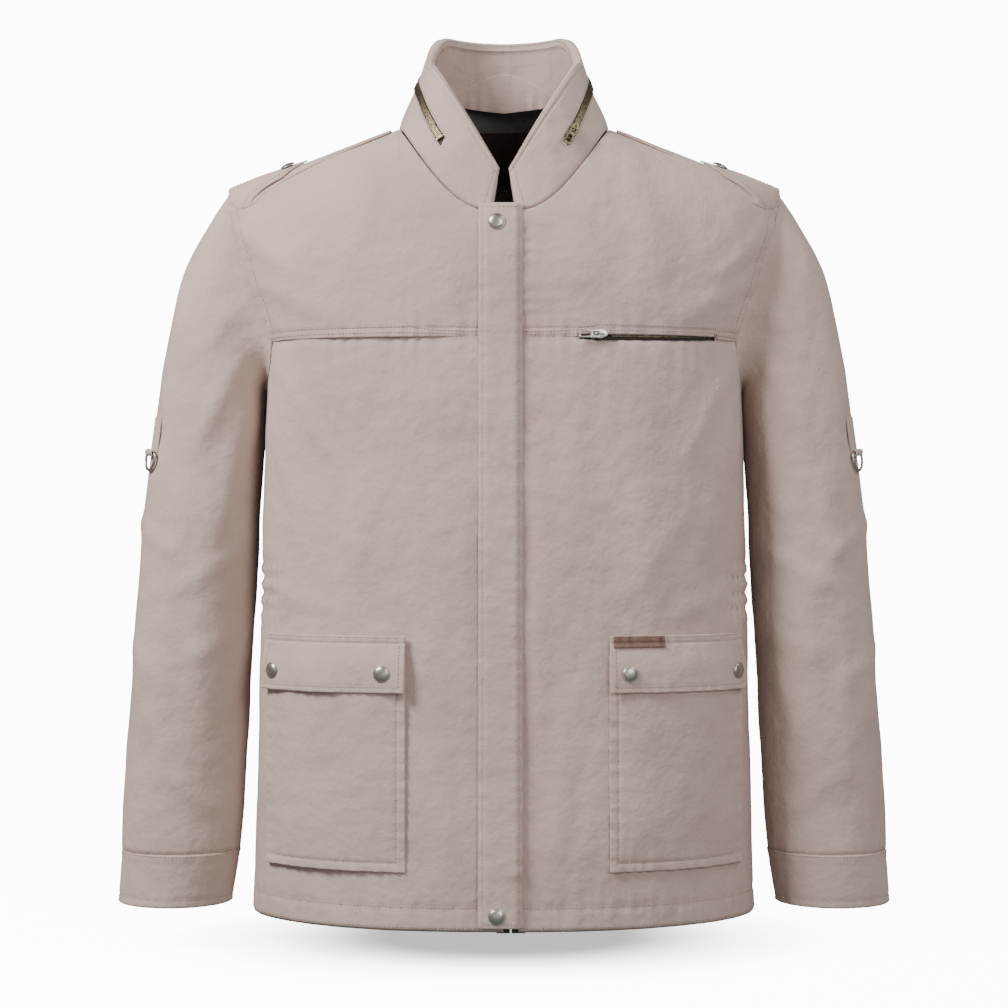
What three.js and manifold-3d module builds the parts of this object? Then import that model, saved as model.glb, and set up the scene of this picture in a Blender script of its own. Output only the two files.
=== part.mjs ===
// A hip-length field jacket, closed, as it hangs on a form: millimetres, +Z up.
// The front faces -Y and +X is the wearer's left. The origin is the centre of the neck,
// level with the two side neck points, where a form or a hanger carries the jacket.
import * as THREE from 'three';
import { mergeVertices } from 'three/addons/utils/BufferGeometryUtils.js';
import Module from 'manifold-3d';

const wasm = await Module();
wasm.setup();

// ---------------------------------------------------------------- driving sizes
const GAP = 0.4; // between pieces that lie face to face
const SAG = 1.1; // how far a panel's flat facets fall inside its true curve
const CLOTH = 2; // one sewn layer of shell cloth
const LINING = 1.2; // one layer of lining
const LINING_DEPTH = CLOTH + 4.4; // from the shell's outer face to the lining's outer face

const BODY = {
  hemDrop: 732,
  chestDrop: 200,
  chestHalfWidth: 221,
  hemHalfWidth: 236.5,
  chestHalfDepth: 117,
  hemHalfDepth: 132,
  chestSquareness: 3,
  hemSquareness: 2.2,
  flare: 0.8,
};

const SHOULDER = {
  neckHalfWidth: 99,
  pointHalfWidth: 262,
  pointDrop: 60,
  armholeHalfWidth: 214,
  underarmDrop: 45,
  centreSquareness: 3.5,
  pointSquareness: 2.2,
};

const NECK = {
  frontDepth: 112,
  frontSquareness: 2.9,
  backDepth: 70,
  backSquareness: 2.2,
  backRise: 74,
};

const COLLAR = {
  topHalfWidth: 72,
  frontDepth: 103,
  backDepth: 62,
  sideForward: 8,
  frontDrop: 52,
  sideRise: 66,
  backRise: 99,
  frontSlit: THREE.MathUtils.degToRad(3),
  hoodThickness: 5,
  layerFit: 0.9,
  hoodReach: [0.1, 0.9],
  innerCloth: 1.6,
};

// The sleeve's outer and inner lines: each point is [how far it lies beyond the body's half
// width at that height, its drop], so the sleeve hangs beside the body whatever its width.
const SLEEVE = {
  outer: [[43, 60], [109, 150], [121.9, 400], [125.8, 676]],
  inner: [[0.2, 245], [0.2, 250], [7.4, 420], [14.8, 676]],
  middleHalfDepth: 66,
  wristHalfDepth: 48,
  wristForward: 5,
  capBlend: 0.16,
  liningDepth: CLOTH + 2.1,
  liningFrom: 0.1,
  liningTo: 0.99,
};

const CUFF = {
  height: 50,
  outerSpread: 3,
  innerDraw: 8,
  halfDepth: 46,
  thickness: 3,
};

const PLACKET = {
  freeEdge: -23,
  sewnEdge: 16.5,
  topDrop: 82,
  bottomDrop: 729,
  thickness: 2.6,
  standOff: 3.8,
  hingeRise: 2.4,
  snapAcross: -6.5,
  topSnapDrop: 99,
  bottomSnapDrop: 717,
};

const MAIN_ZIP = {
  across: 6,
  opening: 13,
  topDrop: 84,
  bottomDrop: 730,
  tapeWidth: 12,
  tapeGap: 1.6,
  tapeThickness: 1.2,
  inset: CLOTH + 2.8,
  sliderDrop: 10,
};

const POCKET = {
  inner: { right: 88, left: 94 },
  outer: { right: 217, left: 217 },
  flapTopDrop: 469,
  flapBottomDrop: 520,
  bagTopDrop: 486,
  bagBottomDrop: 680,
  bagThickness: 2.4,
  flapThickness: 2.2,
  flapLift: 5.8,
  snapDrop: 503,
  snapInner: { right: 108, left: 111 },
  snapOuter: { right: 206, left: 208 },
};

const LABEL = { inner: 96, width: 46, height: 9, thickness: 1.6 };

const CHEST_ZIP = {
  inner: 66,
  outer: 194,
  drop: 198.5,
  slot: 5,
  tapeWidth: 16,
  tapeThickness: 1,
  bagDepth: 120,
  bagThickness: 2.2,
  arcMiddle: 150,
  arcRise: 1.6,
};

const COLLAR_ZIP = {
  end: THREE.MathUtils.degToRad(34),
  frontShare: 0.42,
  sideShare: 0.64,
  halfWidth: 4.5,
  thickness: 1,
  arcMiddle: THREE.MathUtils.degToRad(66),
  arcEnd: THREE.MathUtils.degToRad(96),
  arcRise: 1.2,
};

const SLIDER = {
  length: 15,
  width: 8,
  thickness: 3.2,
  archOuter: 4.1,
  archInner: 2.6,
  archWidth: 2,
  pullLength: 19,
  pullWidth: 7.6,
  pullThickness: 1.4,
  pullHole: 5,
};

const EPAULETTE = {
  neckGap: 6,
  seamGap: 3,
  strapLift: 1.4,
  front: -31,
  back: 12,
  strapThickness: 1.8,
  tipLength: 78,
  tipPoint: 22,
  tipLift: 5.6,
  tipThickness: 2,
  tipEndShare: 0.12,
  tipSideShare: 0.92,
  snapFromEnd: 62,
};

const SNAP = { capRadius: 7.5, capHeight: 2.2, studRadius: 4.5, studHeight: 1.9 };

const RING = {
  along: 0.5,
  turn: THREE.MathUtils.degToRad(32),
  halfWidth: 10.6,
  barHeight: 6,
  barSquareness: 4,
  wire: 1.4,
  eyeInner: 2.3,
  eyeWall: 1.4,
  tabWidth: 16,
  tabLength: 34,
  tabThickness: 1.6,
};

const ELASTIC = { topDrop: 407, bottomDrop: 452, halfTurn: 0.5, thickness: 2 };

const NECK_LABEL = { halfWidth: 28, topShare: 0.44, bottomShare: 0.31, thickness: 0.6 };

// ---------------------------------------------------------------- colours
const shellCloth = () => new THREE.MeshStandardMaterial({ color: 0xbeae9f, roughness: 0.92 });
const liningCloth = () => new THREE.MeshStandardMaterial({ color: 0x4e4946, roughness: 0.7 });
const hoodCloth = () => new THREE.MeshStandardMaterial({ color: 0xa9998b, roughness: 0.85 });
const zipTape = () => new THREE.MeshStandardMaterial({ color: 0x3a332e, roughness: 0.85 });
const agedBrass = () => new THREE.MeshStandardMaterial({ color: 0xa08c6a, roughness: 0.4, metalness: 1 });
const nickel = () => new THREE.MeshStandardMaterial({ color: 0xc9c6c0, roughness: 0.25, metalness: 1 });
const leather = () => new THREE.MeshStandardMaterial({ color: 0x7b5e52, roughness: 0.6 });
const rubberBand = () => new THREE.MeshStandardMaterial({ color: 0x8d8478, roughness: 0.9 });
const labelCloth = () => new THREE.MeshStandardMaterial({ color: 0x2b201d, roughness: 0.8 });

// ---------------------------------------------------------------- helpers
const { clamp, lerp, smoothstep } = THREE.MathUtils;
const HALF_TURN = Math.PI / 2;
const STEP = 1e-3; // how far apart two samples of a surface are taken for its slope

const jacket = new THREE.Group();

// Signed power, which turns a circle's sine or cosine into a superellipse's.
function shaped(value, squareness) {
  return Math.sign(value) * Math.abs(value) ** (2 / squareness);
}

// The other coordinate of a superellipse, as a share of its half size.
function across(share, squareness) {
  return (1 - clamp(Math.abs(share), 0, 1) ** squareness) ** (1 / squareness);
}

// Makes a mapped geometry one clean closed body with its faces pointing out.
function closed(geometry) {
  geometry.deleteAttribute('normal');
  geometry.deleteAttribute('uv');
  const merged = mergeVertices(geometry, 1e-4);
  const position = merged.attributes.position;
  const index = merged.index.array;
  const [a, b, c] = [new THREE.Vector3(), new THREE.Vector3(), new THREE.Vector3()];
  let volume = 0;
  for (let i = 0; i < index.length; i += 3) {
    a.fromBufferAttribute(position, index[i]);
    b.fromBufferAttribute(position, index[i + 1]);
    c.fromBufferAttribute(position, index[i + 2]);
    volume += a.dot(b.cross(c));
  }
  if (volume < 0) {
    for (let i = 0; i < index.length; i += 3) {
      [index[i], index[i + 1]] = [index[i + 1], index[i]];
    }
  }
  merged.computeVertexNormals();
  return merged;
}

// Moves every vertex of a geometry through a function of its own place.
function mapped(geometry, place) {
  const position = geometry.attributes.position;
  const from = new THREE.Vector3();
  for (let i = 0; i < position.count; i += 1) {
    const to = place(from.fromBufferAttribute(position, i));
    position.setXYZ(i, to.x, to.y, to.z);
  }
  return closed(geometry);
}

// A surface is { point(u, v), core(point) }, where core is a place inside the cloth it wraps.
function outward(surface, u, v) {
  const here = surface.point(u, v);
  const alongU = surface.point(u + STEP, v).sub(surface.point(u - STEP, v));
  const alongV = surface.point(u, v + STEP).sub(surface.point(u, v - STEP));
  const normal = alongU.cross(alongV).normalize();
  const away = here.clone().sub(surface.core(here));
  return normal.dot(away) < 0 ? normal.negate() : normal;
}

function onSurface(surface, u, v, lift) {
  return surface.point(u, v).addScaledVector(outward(surface, u, v), lift);
}

// A sheet of one thickness that follows a surface over part of its u and v.
function bentSheet(surface, { u, v, low, high, steps, rows = (share) => share }) {
  const box = new THREE.BoxGeometry(1, 1, 1, steps[0], steps[1], 1);
  return mapped(box, (p) => {
    const along = p.x + 0.5;
    const up = rows(p.y + 0.5);
    const [u0, u1] = typeof u === 'function' ? u(up) : u;
    const [v0, v1] = typeof v === 'function' ? v(along) : v;
    const here = [lerp(u0, u1, along), lerp(v0, v1, up)];
    const bottom = typeof low === 'function' ? low(along, up) : low;
    return onSurface(surface, here[0], here[1], p.z > 0 ? bottom + high : bottom);
  });
}

// A tube wall that follows a closed surface: u runs once round and v along it.
function tubeWall(surface, { v, low, high, steps }) {
  const profile = [];
  for (let i = 0; i <= steps[1]; i += 1) profile.push(new THREE.Vector2(2, i / steps[1]));
  for (let i = steps[1]; i >= 0; i -= 1) profile.push(new THREE.Vector2(1, i / steps[1]));
  profile.push(profile[0].clone());
  const lathe = new THREE.LatheGeometry(profile, steps[0]);
  return mapped(lathe, (p) => {
    const turn = Math.atan2(p.x, p.z);
    const lift = Math.hypot(p.x, p.z) > 1.5 ? low + high : low;
    return onSurface(surface, turn, lerp(v[0], v[1], p.y), lift);
  });
}

function solid(geometry) {
  const vertProperties = Float32Array.from(geometry.attributes.position.array);
  const triVerts = Uint32Array.from(geometry.index.array);
  return new wasm.Manifold(new wasm.Mesh({ numProp: 3, vertProperties, triVerts }));
}

function geometryOf(manifold) {
  const { vertProperties, triVerts } = manifold.getMesh();
  const geometry = new THREE.BufferGeometry();
  geometry.setAttribute('position', new THREE.BufferAttribute(Float32Array.from(vertProperties), 3));
  geometry.setIndex(new THREE.BufferAttribute(Uint32Array.from(triVerts), 1));
  return closed(geometry);
}

const cut = (geometry, cutter) => geometryOf(solid(geometry).subtract(solid(cutter)));
const joined = (first, second) => geometryOf(solid(first).add(solid(second)));

function add(name, geometry, material, parent = jacket) {
  const mesh = new THREE.Mesh(geometry, material);
  mesh.name = name;
  if (parent === jacket) jacket.add(mesh);
  else parent.attach(mesh);
  return mesh;
}

// A pivot is a group whose +X is the axis that everything attached to it moves on.
function pivot(name, origin, axis, parent = jacket) {
  const group = new THREE.Group();
  group.name = name;
  group.position.copy(origin);
  group.quaternion.setFromUnitVectors(new THREE.Vector3(1, 0, 0), axis.clone().normalize());
  jacket.add(group);
  if (parent !== jacket) parent.attach(group);
  group.updateWorldMatrix(true, true);
  return group;
}

// A frame that stands on a surface: Z points out of it, X runs along u, turned by spin.
function seat(surface, u, v, lift, spin = 0) {
  const origin = onSurface(surface, u, v, lift);
  const z = outward(surface, u, v);
  const ahead = surface.point(u + STEP, v).sub(surface.point(u - STEP, v));
  const x = ahead.addScaledVector(z, -ahead.dot(z)).normalize().applyAxisAngle(z, spin);
  const y = z.clone().cross(x);
  return new THREE.Matrix4().makeBasis(x, y, z).setPosition(origin);
}

// The circle through three places, as its centre and its axis.
function circleThrough(a, b, c) {
  const ab = b.clone().sub(a);
  const ac = c.clone().sub(a);
  const axis = ab.clone().cross(ac);
  const first = axis.clone().cross(ab).multiplyScalar(ac.lengthSq());
  const second = ac.clone().cross(axis).multiplyScalar(ab.lengthSq());
  const centre = first.add(second).divideScalar(2 * axis.lengthSq()).add(a);
  return { centre, axis: axis.normalize() };
}

// ---------------------------------------------------------------- the shell's shape
const bodyLength = BODY.hemDrop - BODY.chestDrop;

function bodySection(z) {
  const share = clamp((-BODY.chestDrop - z) / bodyLength, 0, 1);
  return {
    width: lerp(BODY.chestHalfWidth, BODY.hemHalfWidth, share ** BODY.flare),
    depth: lerp(BODY.chestHalfDepth, BODY.hemHalfDepth, share),
    squareness: lerp(BODY.chestSquareness, BODY.hemSquareness, share),
  };
}

const armholeShare = SHOULDER.armholeHalfWidth / BODY.chestHalfWidth;
const armholeHalfDepth = BODY.chestHalfDepth * across(armholeShare, BODY.chestSquareness);

// How far round the side the body reaches at a height: all the way below the underarm.
function lastAngle(z) {
  const drop = (-BODY.chestDrop - z) / SHOULDER.underarmDrop;
  if (drop >= 1) return HALF_TURN;
  const { depth, squareness } = bodySection(z);
  const y = armholeHalfDepth * Math.sqrt(1 - clamp(drop, 0, 1) ** 2);
  return Math.acos((y / depth) ** (squareness / 2));
}

// The angle at which the body's section reaches a given distance from the middle.
function angleAt(x, z) {
  const { width, squareness } = bodySection(z);
  return Math.sign(x) * Math.asin(clamp(Math.abs(x) / width, 0, 1) ** (squareness / 2));
}

// Below the chest: u is the angle from the middle (0) towards the side, v the height in mm.
function bodySurface(facing) {
  return {
    point(u, v) {
      const { width, depth, squareness } = bodySection(v);
      const x = width * shaped(Math.sin(u), squareness);
      return new THREE.Vector3(x, facing * depth * shaped(Math.cos(u), squareness), v);
    },
    core: (p) => new THREE.Vector3(0, 0, p.z),
  };
}

function ridgeHeight(x, facing) {
  const beyond = Math.abs(x) - SHOULDER.neckHalfWidth;
  const run = SHOULDER.pointHalfWidth - SHOULDER.neckHalfWidth;
  if (beyond > 0) return (-SHOULDER.pointDrop * beyond) / run;
  const share = x / SHOULDER.neckHalfWidth;
  return facing > 0 ? NECK.backRise * (1 - share * share) ** 1.5 : 0;
}

const yokeWidth = (h) => lerp(SHOULDER.armholeHalfWidth, SHOULDER.pointHalfWidth, h);
const yokeSquareness = (s) => lerp(SHOULDER.centreSquareness, SHOULDER.pointSquareness, Math.abs(s));

function yokePoint(s, h, facing) {
  const depth = BODY.chestHalfDepth * across(s * armholeShare, BODY.chestSquareness);
  const y = facing * depth * across(h, yokeSquareness(s));
  const top = ridgeHeight(s * SHOULDER.pointHalfWidth, facing);
  return new THREE.Vector3(s * yokeWidth(h), y, lerp(-BODY.chestDrop, top, h));
}

// Above the chest: u is the share of the way to the armhole, v the share up to the ridge.
function yokeSurface(facing) {
  return {
    point(u, v) {
      const turn = clamp(v, 0, 1) * HALF_TURN;
      const h = shaped(Math.sin(turn), yokeSquareness(u));
      return yokePoint(clamp(u, -1, 1), h, facing);
    },
    core: () => new THREE.Vector3(0, 0, -2 * BODY.chestDrop),
  };
}

// Seen from above: u is x and v is y, which suits what lies along the shoulder.
function shoulderHeight(x, y) {
  const facing = y > 0 ? 1 : -1;
  let h = 1;
  for (let round = 0; round < 30; round += 1) {
    const s = clamp(x / yokeWidth(h), -1, 1);
    const depth = BODY.chestHalfDepth * across(s * armholeShare, BODY.chestSquareness);
    h = lerp(h, across(y / depth, yokeSquareness(s)), 0.6);
  }
  const top = ridgeHeight((x / yokeWidth(h)) * SHOULDER.pointHalfWidth, facing);
  return lerp(-BODY.chestDrop, top, h);
}

const shoulderSurface = {
  point: (u, v) => new THREE.Vector3(u, v, shoulderHeight(u, v)),
  core: (p) => new THREE.Vector3(p.x, p.y, p.z - 1),
};

// The neck opening seen from above, and its seam on the shell.
function neckPlan(turn, grow = 0) {
  const front = Math.cos(turn) > 0;
  const squareness = front ? NECK.frontSquareness : NECK.backSquareness;
  const depth = front ? NECK.frontDepth : NECK.backDepth;
  const x = (SHOULDER.neckHalfWidth + grow) * shaped(Math.sin(turn), squareness);
  return new THREE.Vector2(x, -(depth + grow) * shaped(Math.cos(turn), squareness));
}

function neckSeam(turn) {
  const { x, y } = neckPlan(turn);
  return new THREE.Vector3(x, y, shoulderHeight(x, y));
}

function neckCutter() {
  const outline = [];
  for (let i = 0; i < 48; i += 1) outline.push(neckPlan((i / 48) * 2 * Math.PI, GAP));
  const foot = -0.75 * BODY.chestDrop; // under the lowest place of the neck seam
  const depth = NECK.backRise + BODY.chestDrop;
  const prism = new THREE.ExtrudeGeometry(new THREE.Shape(outline), { depth, bevelEnabled: false });
  return closed(prism.translate(0, 0, foot));
}

// ---------------------------------------------------------------- shell panels and yokes
const sideGap = GAP / 2 / BODY.hemHalfWidth;
const FRONT = -1;
const BACK = 1;
const zipHalf = MAIN_ZIP.opening / 2;
const frontStart = { right: -(zipHalf - MAIN_ZIP.across), left: MAIN_ZIP.across + zipHalf };
const SIDES = { right: -1, left: 1 };
const hemZ = -BODY.hemDrop;
const chestZ = -BODY.chestDrop;
const closerAbove = (share) => 1 - (1 - share) ** 1.7; // rows crowd towards the armhole

function slotCutter() {
  const width = CHEST_ZIP.outer - CHEST_ZIP.inner;
  const box = new THREE.BoxGeometry(width, BODY.hemHalfDepth, CHEST_ZIP.slot);
  const middle = (CHEST_ZIP.outer + CHEST_ZIP.inner) / 2;
  return closed(box.translate(middle, -BODY.hemHalfDepth / 2 - GAP, -CHEST_ZIP.drop));
}

function frontPanel(side) {
  const sign = SIDES[side];
  const start = sign * frontStart[side];
  return bentSheet(bodySurface(FRONT), {
    u: (up) => {
      const z = lerp(hemZ, chestZ - GAP, up);
      return [sign * Math.abs(angleAt(start, z)), sign * (lastAngle(z) - sideGap)];
    },
    v: [hemZ, chestZ - GAP],
    low: -CLOTH,
    high: CLOTH,
    steps: [10, 9],
    rows: closerAbove,
  });
}

function frontYoke(side) {
  const sign = SIDES[side];
  const start = (sign * frontStart[side]) / SHOULDER.armholeHalfWidth;
  const sheet = bentSheet(yokeSurface(FRONT), {
    u: [sign * start, sign],
    v: [0, 1 - sideGap],
    low: -CLOTH,
    high: CLOTH,
    steps: [10, 7],
  });
  return cut(sheet, neckCutter());
}

function backYoke() {
  const sheet = bentSheet(yokeSurface(BACK), {
    u: [-1, 1],
    v: [0, 1 - sideGap],
    low: -CLOTH,
    high: CLOTH,
    steps: [16, 7],
  });
  return cut(sheet, neckCutter());
}

function backPanel() {
  return bentSheet(bodySurface(BACK), {
    u: (up) => {
      const last = lastAngle(lerp(hemZ, chestZ - GAP, up)) - sideGap;
      return [-last, last];
    },
    v: [hemZ, chestZ - GAP],
    low: -CLOTH,
    high: CLOTH,
    steps: [16, 9],
    rows: closerAbove,
  });
}

add('back_panel', backPanel(), shellCloth());
add('back_yoke', backYoke(), shellCloth());
add('right_front_panel', frontPanel('right'), shellCloth());
add('left_front_panel', cut(frontPanel('left'), slotCutter()), shellCloth());
add('right_front_yoke', frontYoke('right'), shellCloth());
add('left_front_yoke', cut(frontYoke('left'), slotCutter()), shellCloth());

// ---------------------------------------------------------------- lining and label
const LINING_SPLIT = 0.5; // the share of the lining's rows that lies below the chest
const LINING_ROWS = [0.004, 0.985]; // the rows that the sheets cover, short of both ends
const LINING_HEM = 20; // how far the lining's foot lies above the shell's hem
const LINING_FROM_TAPE = 6; // from the zip tape to the lining's front edge

// One sheet from the hem to the shoulder ridge: u as on the body, v from 0 to 1.
function liningSurface(facing) {
  const body = bodySurface(facing);
  const yoke = yokeSurface(facing);
  return {
    point(u, v) {
      if (v > LINING_SPLIT) return yoke.point(u, (v - LINING_SPLIT) / (1 - LINING_SPLIT));
      const z = lerp(hemZ + LINING_HEM, chestZ, v / LINING_SPLIT);
      return body.point(angleAt(u * SHOULDER.armholeHalfWidth, z) * (lastAngle(z) / lastAngle(chestZ)), z);
    },
    core: (p) => new THREE.Vector3(0, 0, Math.min(p.z, -2 * BODY.chestDrop)),
  };
}

function liningSheet(facing, from, to, steps) {
  const sheet = bentSheet(liningSurface(facing), {
    u: [from, to],
    v: LINING_ROWS,
    low: -LINING_DEPTH - LINING,
    high: LINING,
    steps,
  });
  return cut(sheet, neckCutter());
}

const liningStart = (MAIN_ZIP.across + MAIN_ZIP.tapeWidth + LINING_FROM_TAPE) / SHOULDER.armholeHalfWidth;
const liningEnd = 0.97;
add('back_lining', liningSheet(BACK, -liningEnd, liningEnd, [16, 10]), liningCloth());
add('right_front_lining', liningSheet(FRONT, -liningEnd, -liningStart, [6, 8]), liningCloth());
add('left_front_lining', liningSheet(FRONT, liningStart, liningEnd, [6, 8]), liningCloth());

const labelEdge = NECK_LABEL.halfWidth / SHOULDER.armholeHalfWidth;
add('neck_label', bentSheet(yokeSurface(BACK), {
  u: [-labelEdge, labelEdge],
  v: [NECK_LABEL.bottomShare, NECK_LABEL.topShare],
  low: -LINING_DEPTH - LINING - 2 * SAG - NECK_LABEL.thickness,
  high: NECK_LABEL.thickness,
  steps: [2, 2],
}), labelCloth());

// ---------------------------------------------------------------- collar with the hood inside
function collarTop(turn) {
  const front = Math.cos(turn) > 0;
  const x = COLLAR.topHalfWidth * Math.sin(turn);
  const depth = front ? COLLAR.frontDepth : COLLAR.backDepth;
  const y = -depth * Math.cos(turn) - COLLAR.sideForward * Math.abs(Math.sin(turn));
  const backTurn = clamp(-Math.cos(turn) * 1.5, 0, 1);
  const backZ = lerp(COLLAR.sideRise, COLLAR.backRise, Math.sin(backTurn * HALF_TURN));
  const frontZ = lerp(-COLLAR.frontDrop, COLLAR.sideRise, Math.abs(Math.sin(turn)));
  return new THREE.Vector3(x, y, front ? frontZ : backZ);
}

const collarSurface = {
  point: (u, v) => neckSeam(u).lerp(collarTop(u), v),
  core: (p) => new THREE.Vector3(0, 0, p.z - 20),
};

function collarLayer(low, thickness, slit, share, steps) {
  return bentSheet(collarSurface, {
    u: [slit, 2 * Math.PI - slit],
    v: share,
    low,
    high: thickness,
    steps,
  });
}

// How far the flat facets of a collar layer leave its true curve: more on a taller collar.
function collarSag(columns) {
  let sag = 0;
  for (let i = 0; i < columns; i += 1) {
    const [u0, u1] = [i, i + 1].map((k) => (k / columns) * 2 * Math.PI);
    const middle = (u0 + u1) / 2;
    const facet = collarSurface.point(u0, 0).add(collarSurface.point(u1, 1)).multiplyScalar(0.5);
    const inside = facet.sub(collarSurface.point(middle, 0.5)).dot(outward(collarSurface, middle, 0.5));
    sag = Math.max(sag, Math.abs(inside));
  }
  return sag;
}

const COLLAR_COLUMNS = 32;
const HOOD_COLUMNS = 26;
const collarGap = collarSag(HOOD_COLUMNS) * COLLAR.layerFit;
const hoodLow = -CLOTH - collarGap - COLLAR.hoodThickness;
const innerLow = hoodLow - collarGap - COLLAR.innerCloth;
const slit = COLLAR.frontSlit;
add('collar_outer', collarLayer(-CLOTH, CLOTH, slit, [0.02, 1], [COLLAR_COLUMNS, 3]), shellCloth());
const hood = collarLayer(hoodLow, COLLAR.hoodThickness, 6 * slit, COLLAR.hoodReach, [HOOD_COLUMNS, 2]);
add('stowed_hood', hood, hoodCloth());
add('collar_inner', collarLayer(innerLow, COLLAR.innerCloth, 2 * slit, [0.02, 0.99], [28, 2]), shellCloth());

// ---------------------------------------------------------------- snap fasteners
const discSides = 10;

function snapCap() {
  const { capRadius: r, capHeight: h } = SNAP;
  const profile = [[0, 0], [r, 0], [r, 0.35 * h], [0.7 * r, 0.85 * h], [0, h]];
  const lathe = new THREE.LatheGeometry(profile.map(([x, y]) => new THREE.Vector2(x, y)), discSides);
  return closed(lathe.rotateX(HALF_TURN));
}

function snapStud() {
  const { studRadius: r, studHeight: h } = SNAP;
  const profile = [[0, 0], [r, 0], [r, 0.4 * h], [0.5 * r, h], [0, h]];
  const lathe = new THREE.LatheGeometry(profile.map(([x, y]) => new THREE.Vector2(x, y)), discSides);
  return closed(lathe.rotateX(HALF_TURN));
}

// Stands a geometry on a seat matrix and adds it to a parent.
function addSeated(name, geometry, material, matrix, parent = jacket) {
  return add(name, geometry.applyMatrix4(matrix), material, parent);
}

// ---------------------------------------------------------------- storm flap over the main zip
const frontSurface = {
  point(u, v) {
    if (v < chestZ) return bodySurface(FRONT).point(angleAt(u, v), v);
    return new THREE.Vector3(u, frontDepthAt(u, v), v);
  },
  core: (p) => new THREE.Vector3(0, 0, p.z),
};

// The shell's y at a place on the upper front, worked out from its height.
function frontDepthAt(x, z) {
  const h = clamp((z - chestZ) / (ridgeHeight(x, FRONT) - chestZ), 0, 1);
  const s = x / yokeWidth(h);
  const depth = BODY.chestHalfDepth * across(s * armholeShare, BODY.chestSquareness);
  return -depth * across(h, yokeSquareness(s));
}

const placketWidth = PLACKET.sewnEdge - PLACKET.freeEdge;
const placketZ = [-PLACKET.bottomDrop, -PLACKET.topDrop];

// The flap rises from its sewn edge over the zip and comes down towards its free edge.
function placketLift(share) {
  const fromSewn = (1 - share) * placketWidth;
  const rise = smoothstep(fromSewn, 1, 6);
  const fall = smoothstep(share * placketWidth, 0, 8);
  return GAP + (PLACKET.standOff - GAP) * rise * lerp(0.3, 1, fall);
}

const placketAxisLift = GAP + PLACKET.thickness + PLACKET.hingeRise;
const placketTop = onSurface(frontSurface, PLACKET.sewnEdge, placketZ[1], placketAxisLift);
const placketFoot = onSurface(frontSurface, PLACKET.sewnEdge, placketZ[0], placketAxisLift);
const placketHinge = pivot('placket_hinge', placketTop, placketTop.clone().sub(placketFoot));
add('placket_flap', bentSheet(frontSurface, {
  u: [PLACKET.freeEdge, PLACKET.sewnEdge],
  v: placketZ,
  low: (share) => placketLift(share),
  high: PLACKET.thickness,
  steps: [8, 9],
  rows: closerAbove,
}), shellCloth(), placketHinge);

for (const [end, drop] of [['top', PLACKET.topSnapDrop], ['bottom', PLACKET.bottomSnapDrop]]) {
  const capLift = PLACKET.standOff + PLACKET.thickness + GAP;
  const capSeat = seat(frontSurface, PLACKET.snapAcross, -drop, capLift);
  const studSeat = seat(frontSurface, PLACKET.snapAcross, -drop, GAP);
  addSeated(`placket_${end}_cap`, snapCap(), nickel(), capSeat, placketHinge);
  addSeated(`placket_${end}_stud`, snapStud(), nickel(), studSeat);
}

// ---------------------------------------------------------------- zip sliders and pulls
function sliderBody() {
  const { length, width, thickness, archOuter, archInner, archWidth } = SLIDER;
  const outline = new THREE.Shape();
  outline.moveTo(-length / 2, -width / 2);
  outline.lineTo(length / 4, -width / 2);
  outline.lineTo(length / 2, -width / 5);
  outline.lineTo(length / 2, width / 5);
  outline.lineTo(length / 4, width / 2);
  outline.lineTo(-length / 2, width / 2);
  const plate = closed(new THREE.ExtrudeGeometry(outline, { depth: thickness, bevelEnabled: false }));
  const ring = new THREE.Shape();
  ring.absarc(0, 0, archOuter, 0, Math.PI, false);
  ring.absarc(0, 0, archInner, Math.PI, 0, true);
  const arch = new THREE.ExtrudeGeometry(ring, { depth: archWidth, bevelEnabled: false, curveSegments: 6 });
  arch.translate(0, 0, -archWidth / 2).rotateX(HALF_TURN).translate(0, 0, thickness - GAP / 2);
  return joined(plate, closed(arch));
}

// The pull lies along -X with its end bar under the slider's arch.
const pullAxisZ = SLIDER.thickness + (SLIDER.archInner - GAP / 2) / 2;

function pullTab() {
  const { pullLength, pullWidth, pullThickness, pullHole, archWidth } = SLIDER;
  const bar = pullThickness / 2;
  const outline = new THREE.Shape();
  outline.moveTo(bar, -pullWidth / 2);
  outline.lineTo(bar, pullWidth / 2);
  outline.lineTo(-pullLength + 2, pullWidth / 2);
  outline.lineTo(-pullLength, pullWidth / 4);
  outline.lineTo(-pullLength, -pullWidth / 4);
  outline.lineTo(-pullLength + 2, -pullWidth / 2);
  const hole = new THREE.Path();
  const halfHole = archWidth / 2 + 2 * GAP;
  hole.moveTo(-bar, -halfHole);
  hole.lineTo(-bar - pullHole, -halfHole);
  hole.lineTo(-bar - pullHole, halfHole);
  hole.lineTo(-bar, halfHole);
  outline.holes.push(hole);
  const plate = new THREE.ExtrudeGeometry(outline, { depth: pullThickness, bevelEnabled: false });
  return closed(plate.translate(0, 0, pullAxisZ - bar));
}

// A slider on its travel pivot, and its pull on a hinge of its own.
function addSlider(name, matrix, travel) {
  addSeated(`${name}_slider`, sliderBody(), agedBrass(), matrix, travel);
  const origin = new THREE.Vector3(0, 0, pullAxisZ).applyMatrix4(matrix);
  const axis = new THREE.Vector3(0, 1, 0).transformDirection(matrix);
  const hinge = pivot(`${name}_pull_hinge`, origin, axis, travel);
  addSeated(`${name}_pull`, pullTab(), agedBrass(), matrix, hinge);
}

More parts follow.
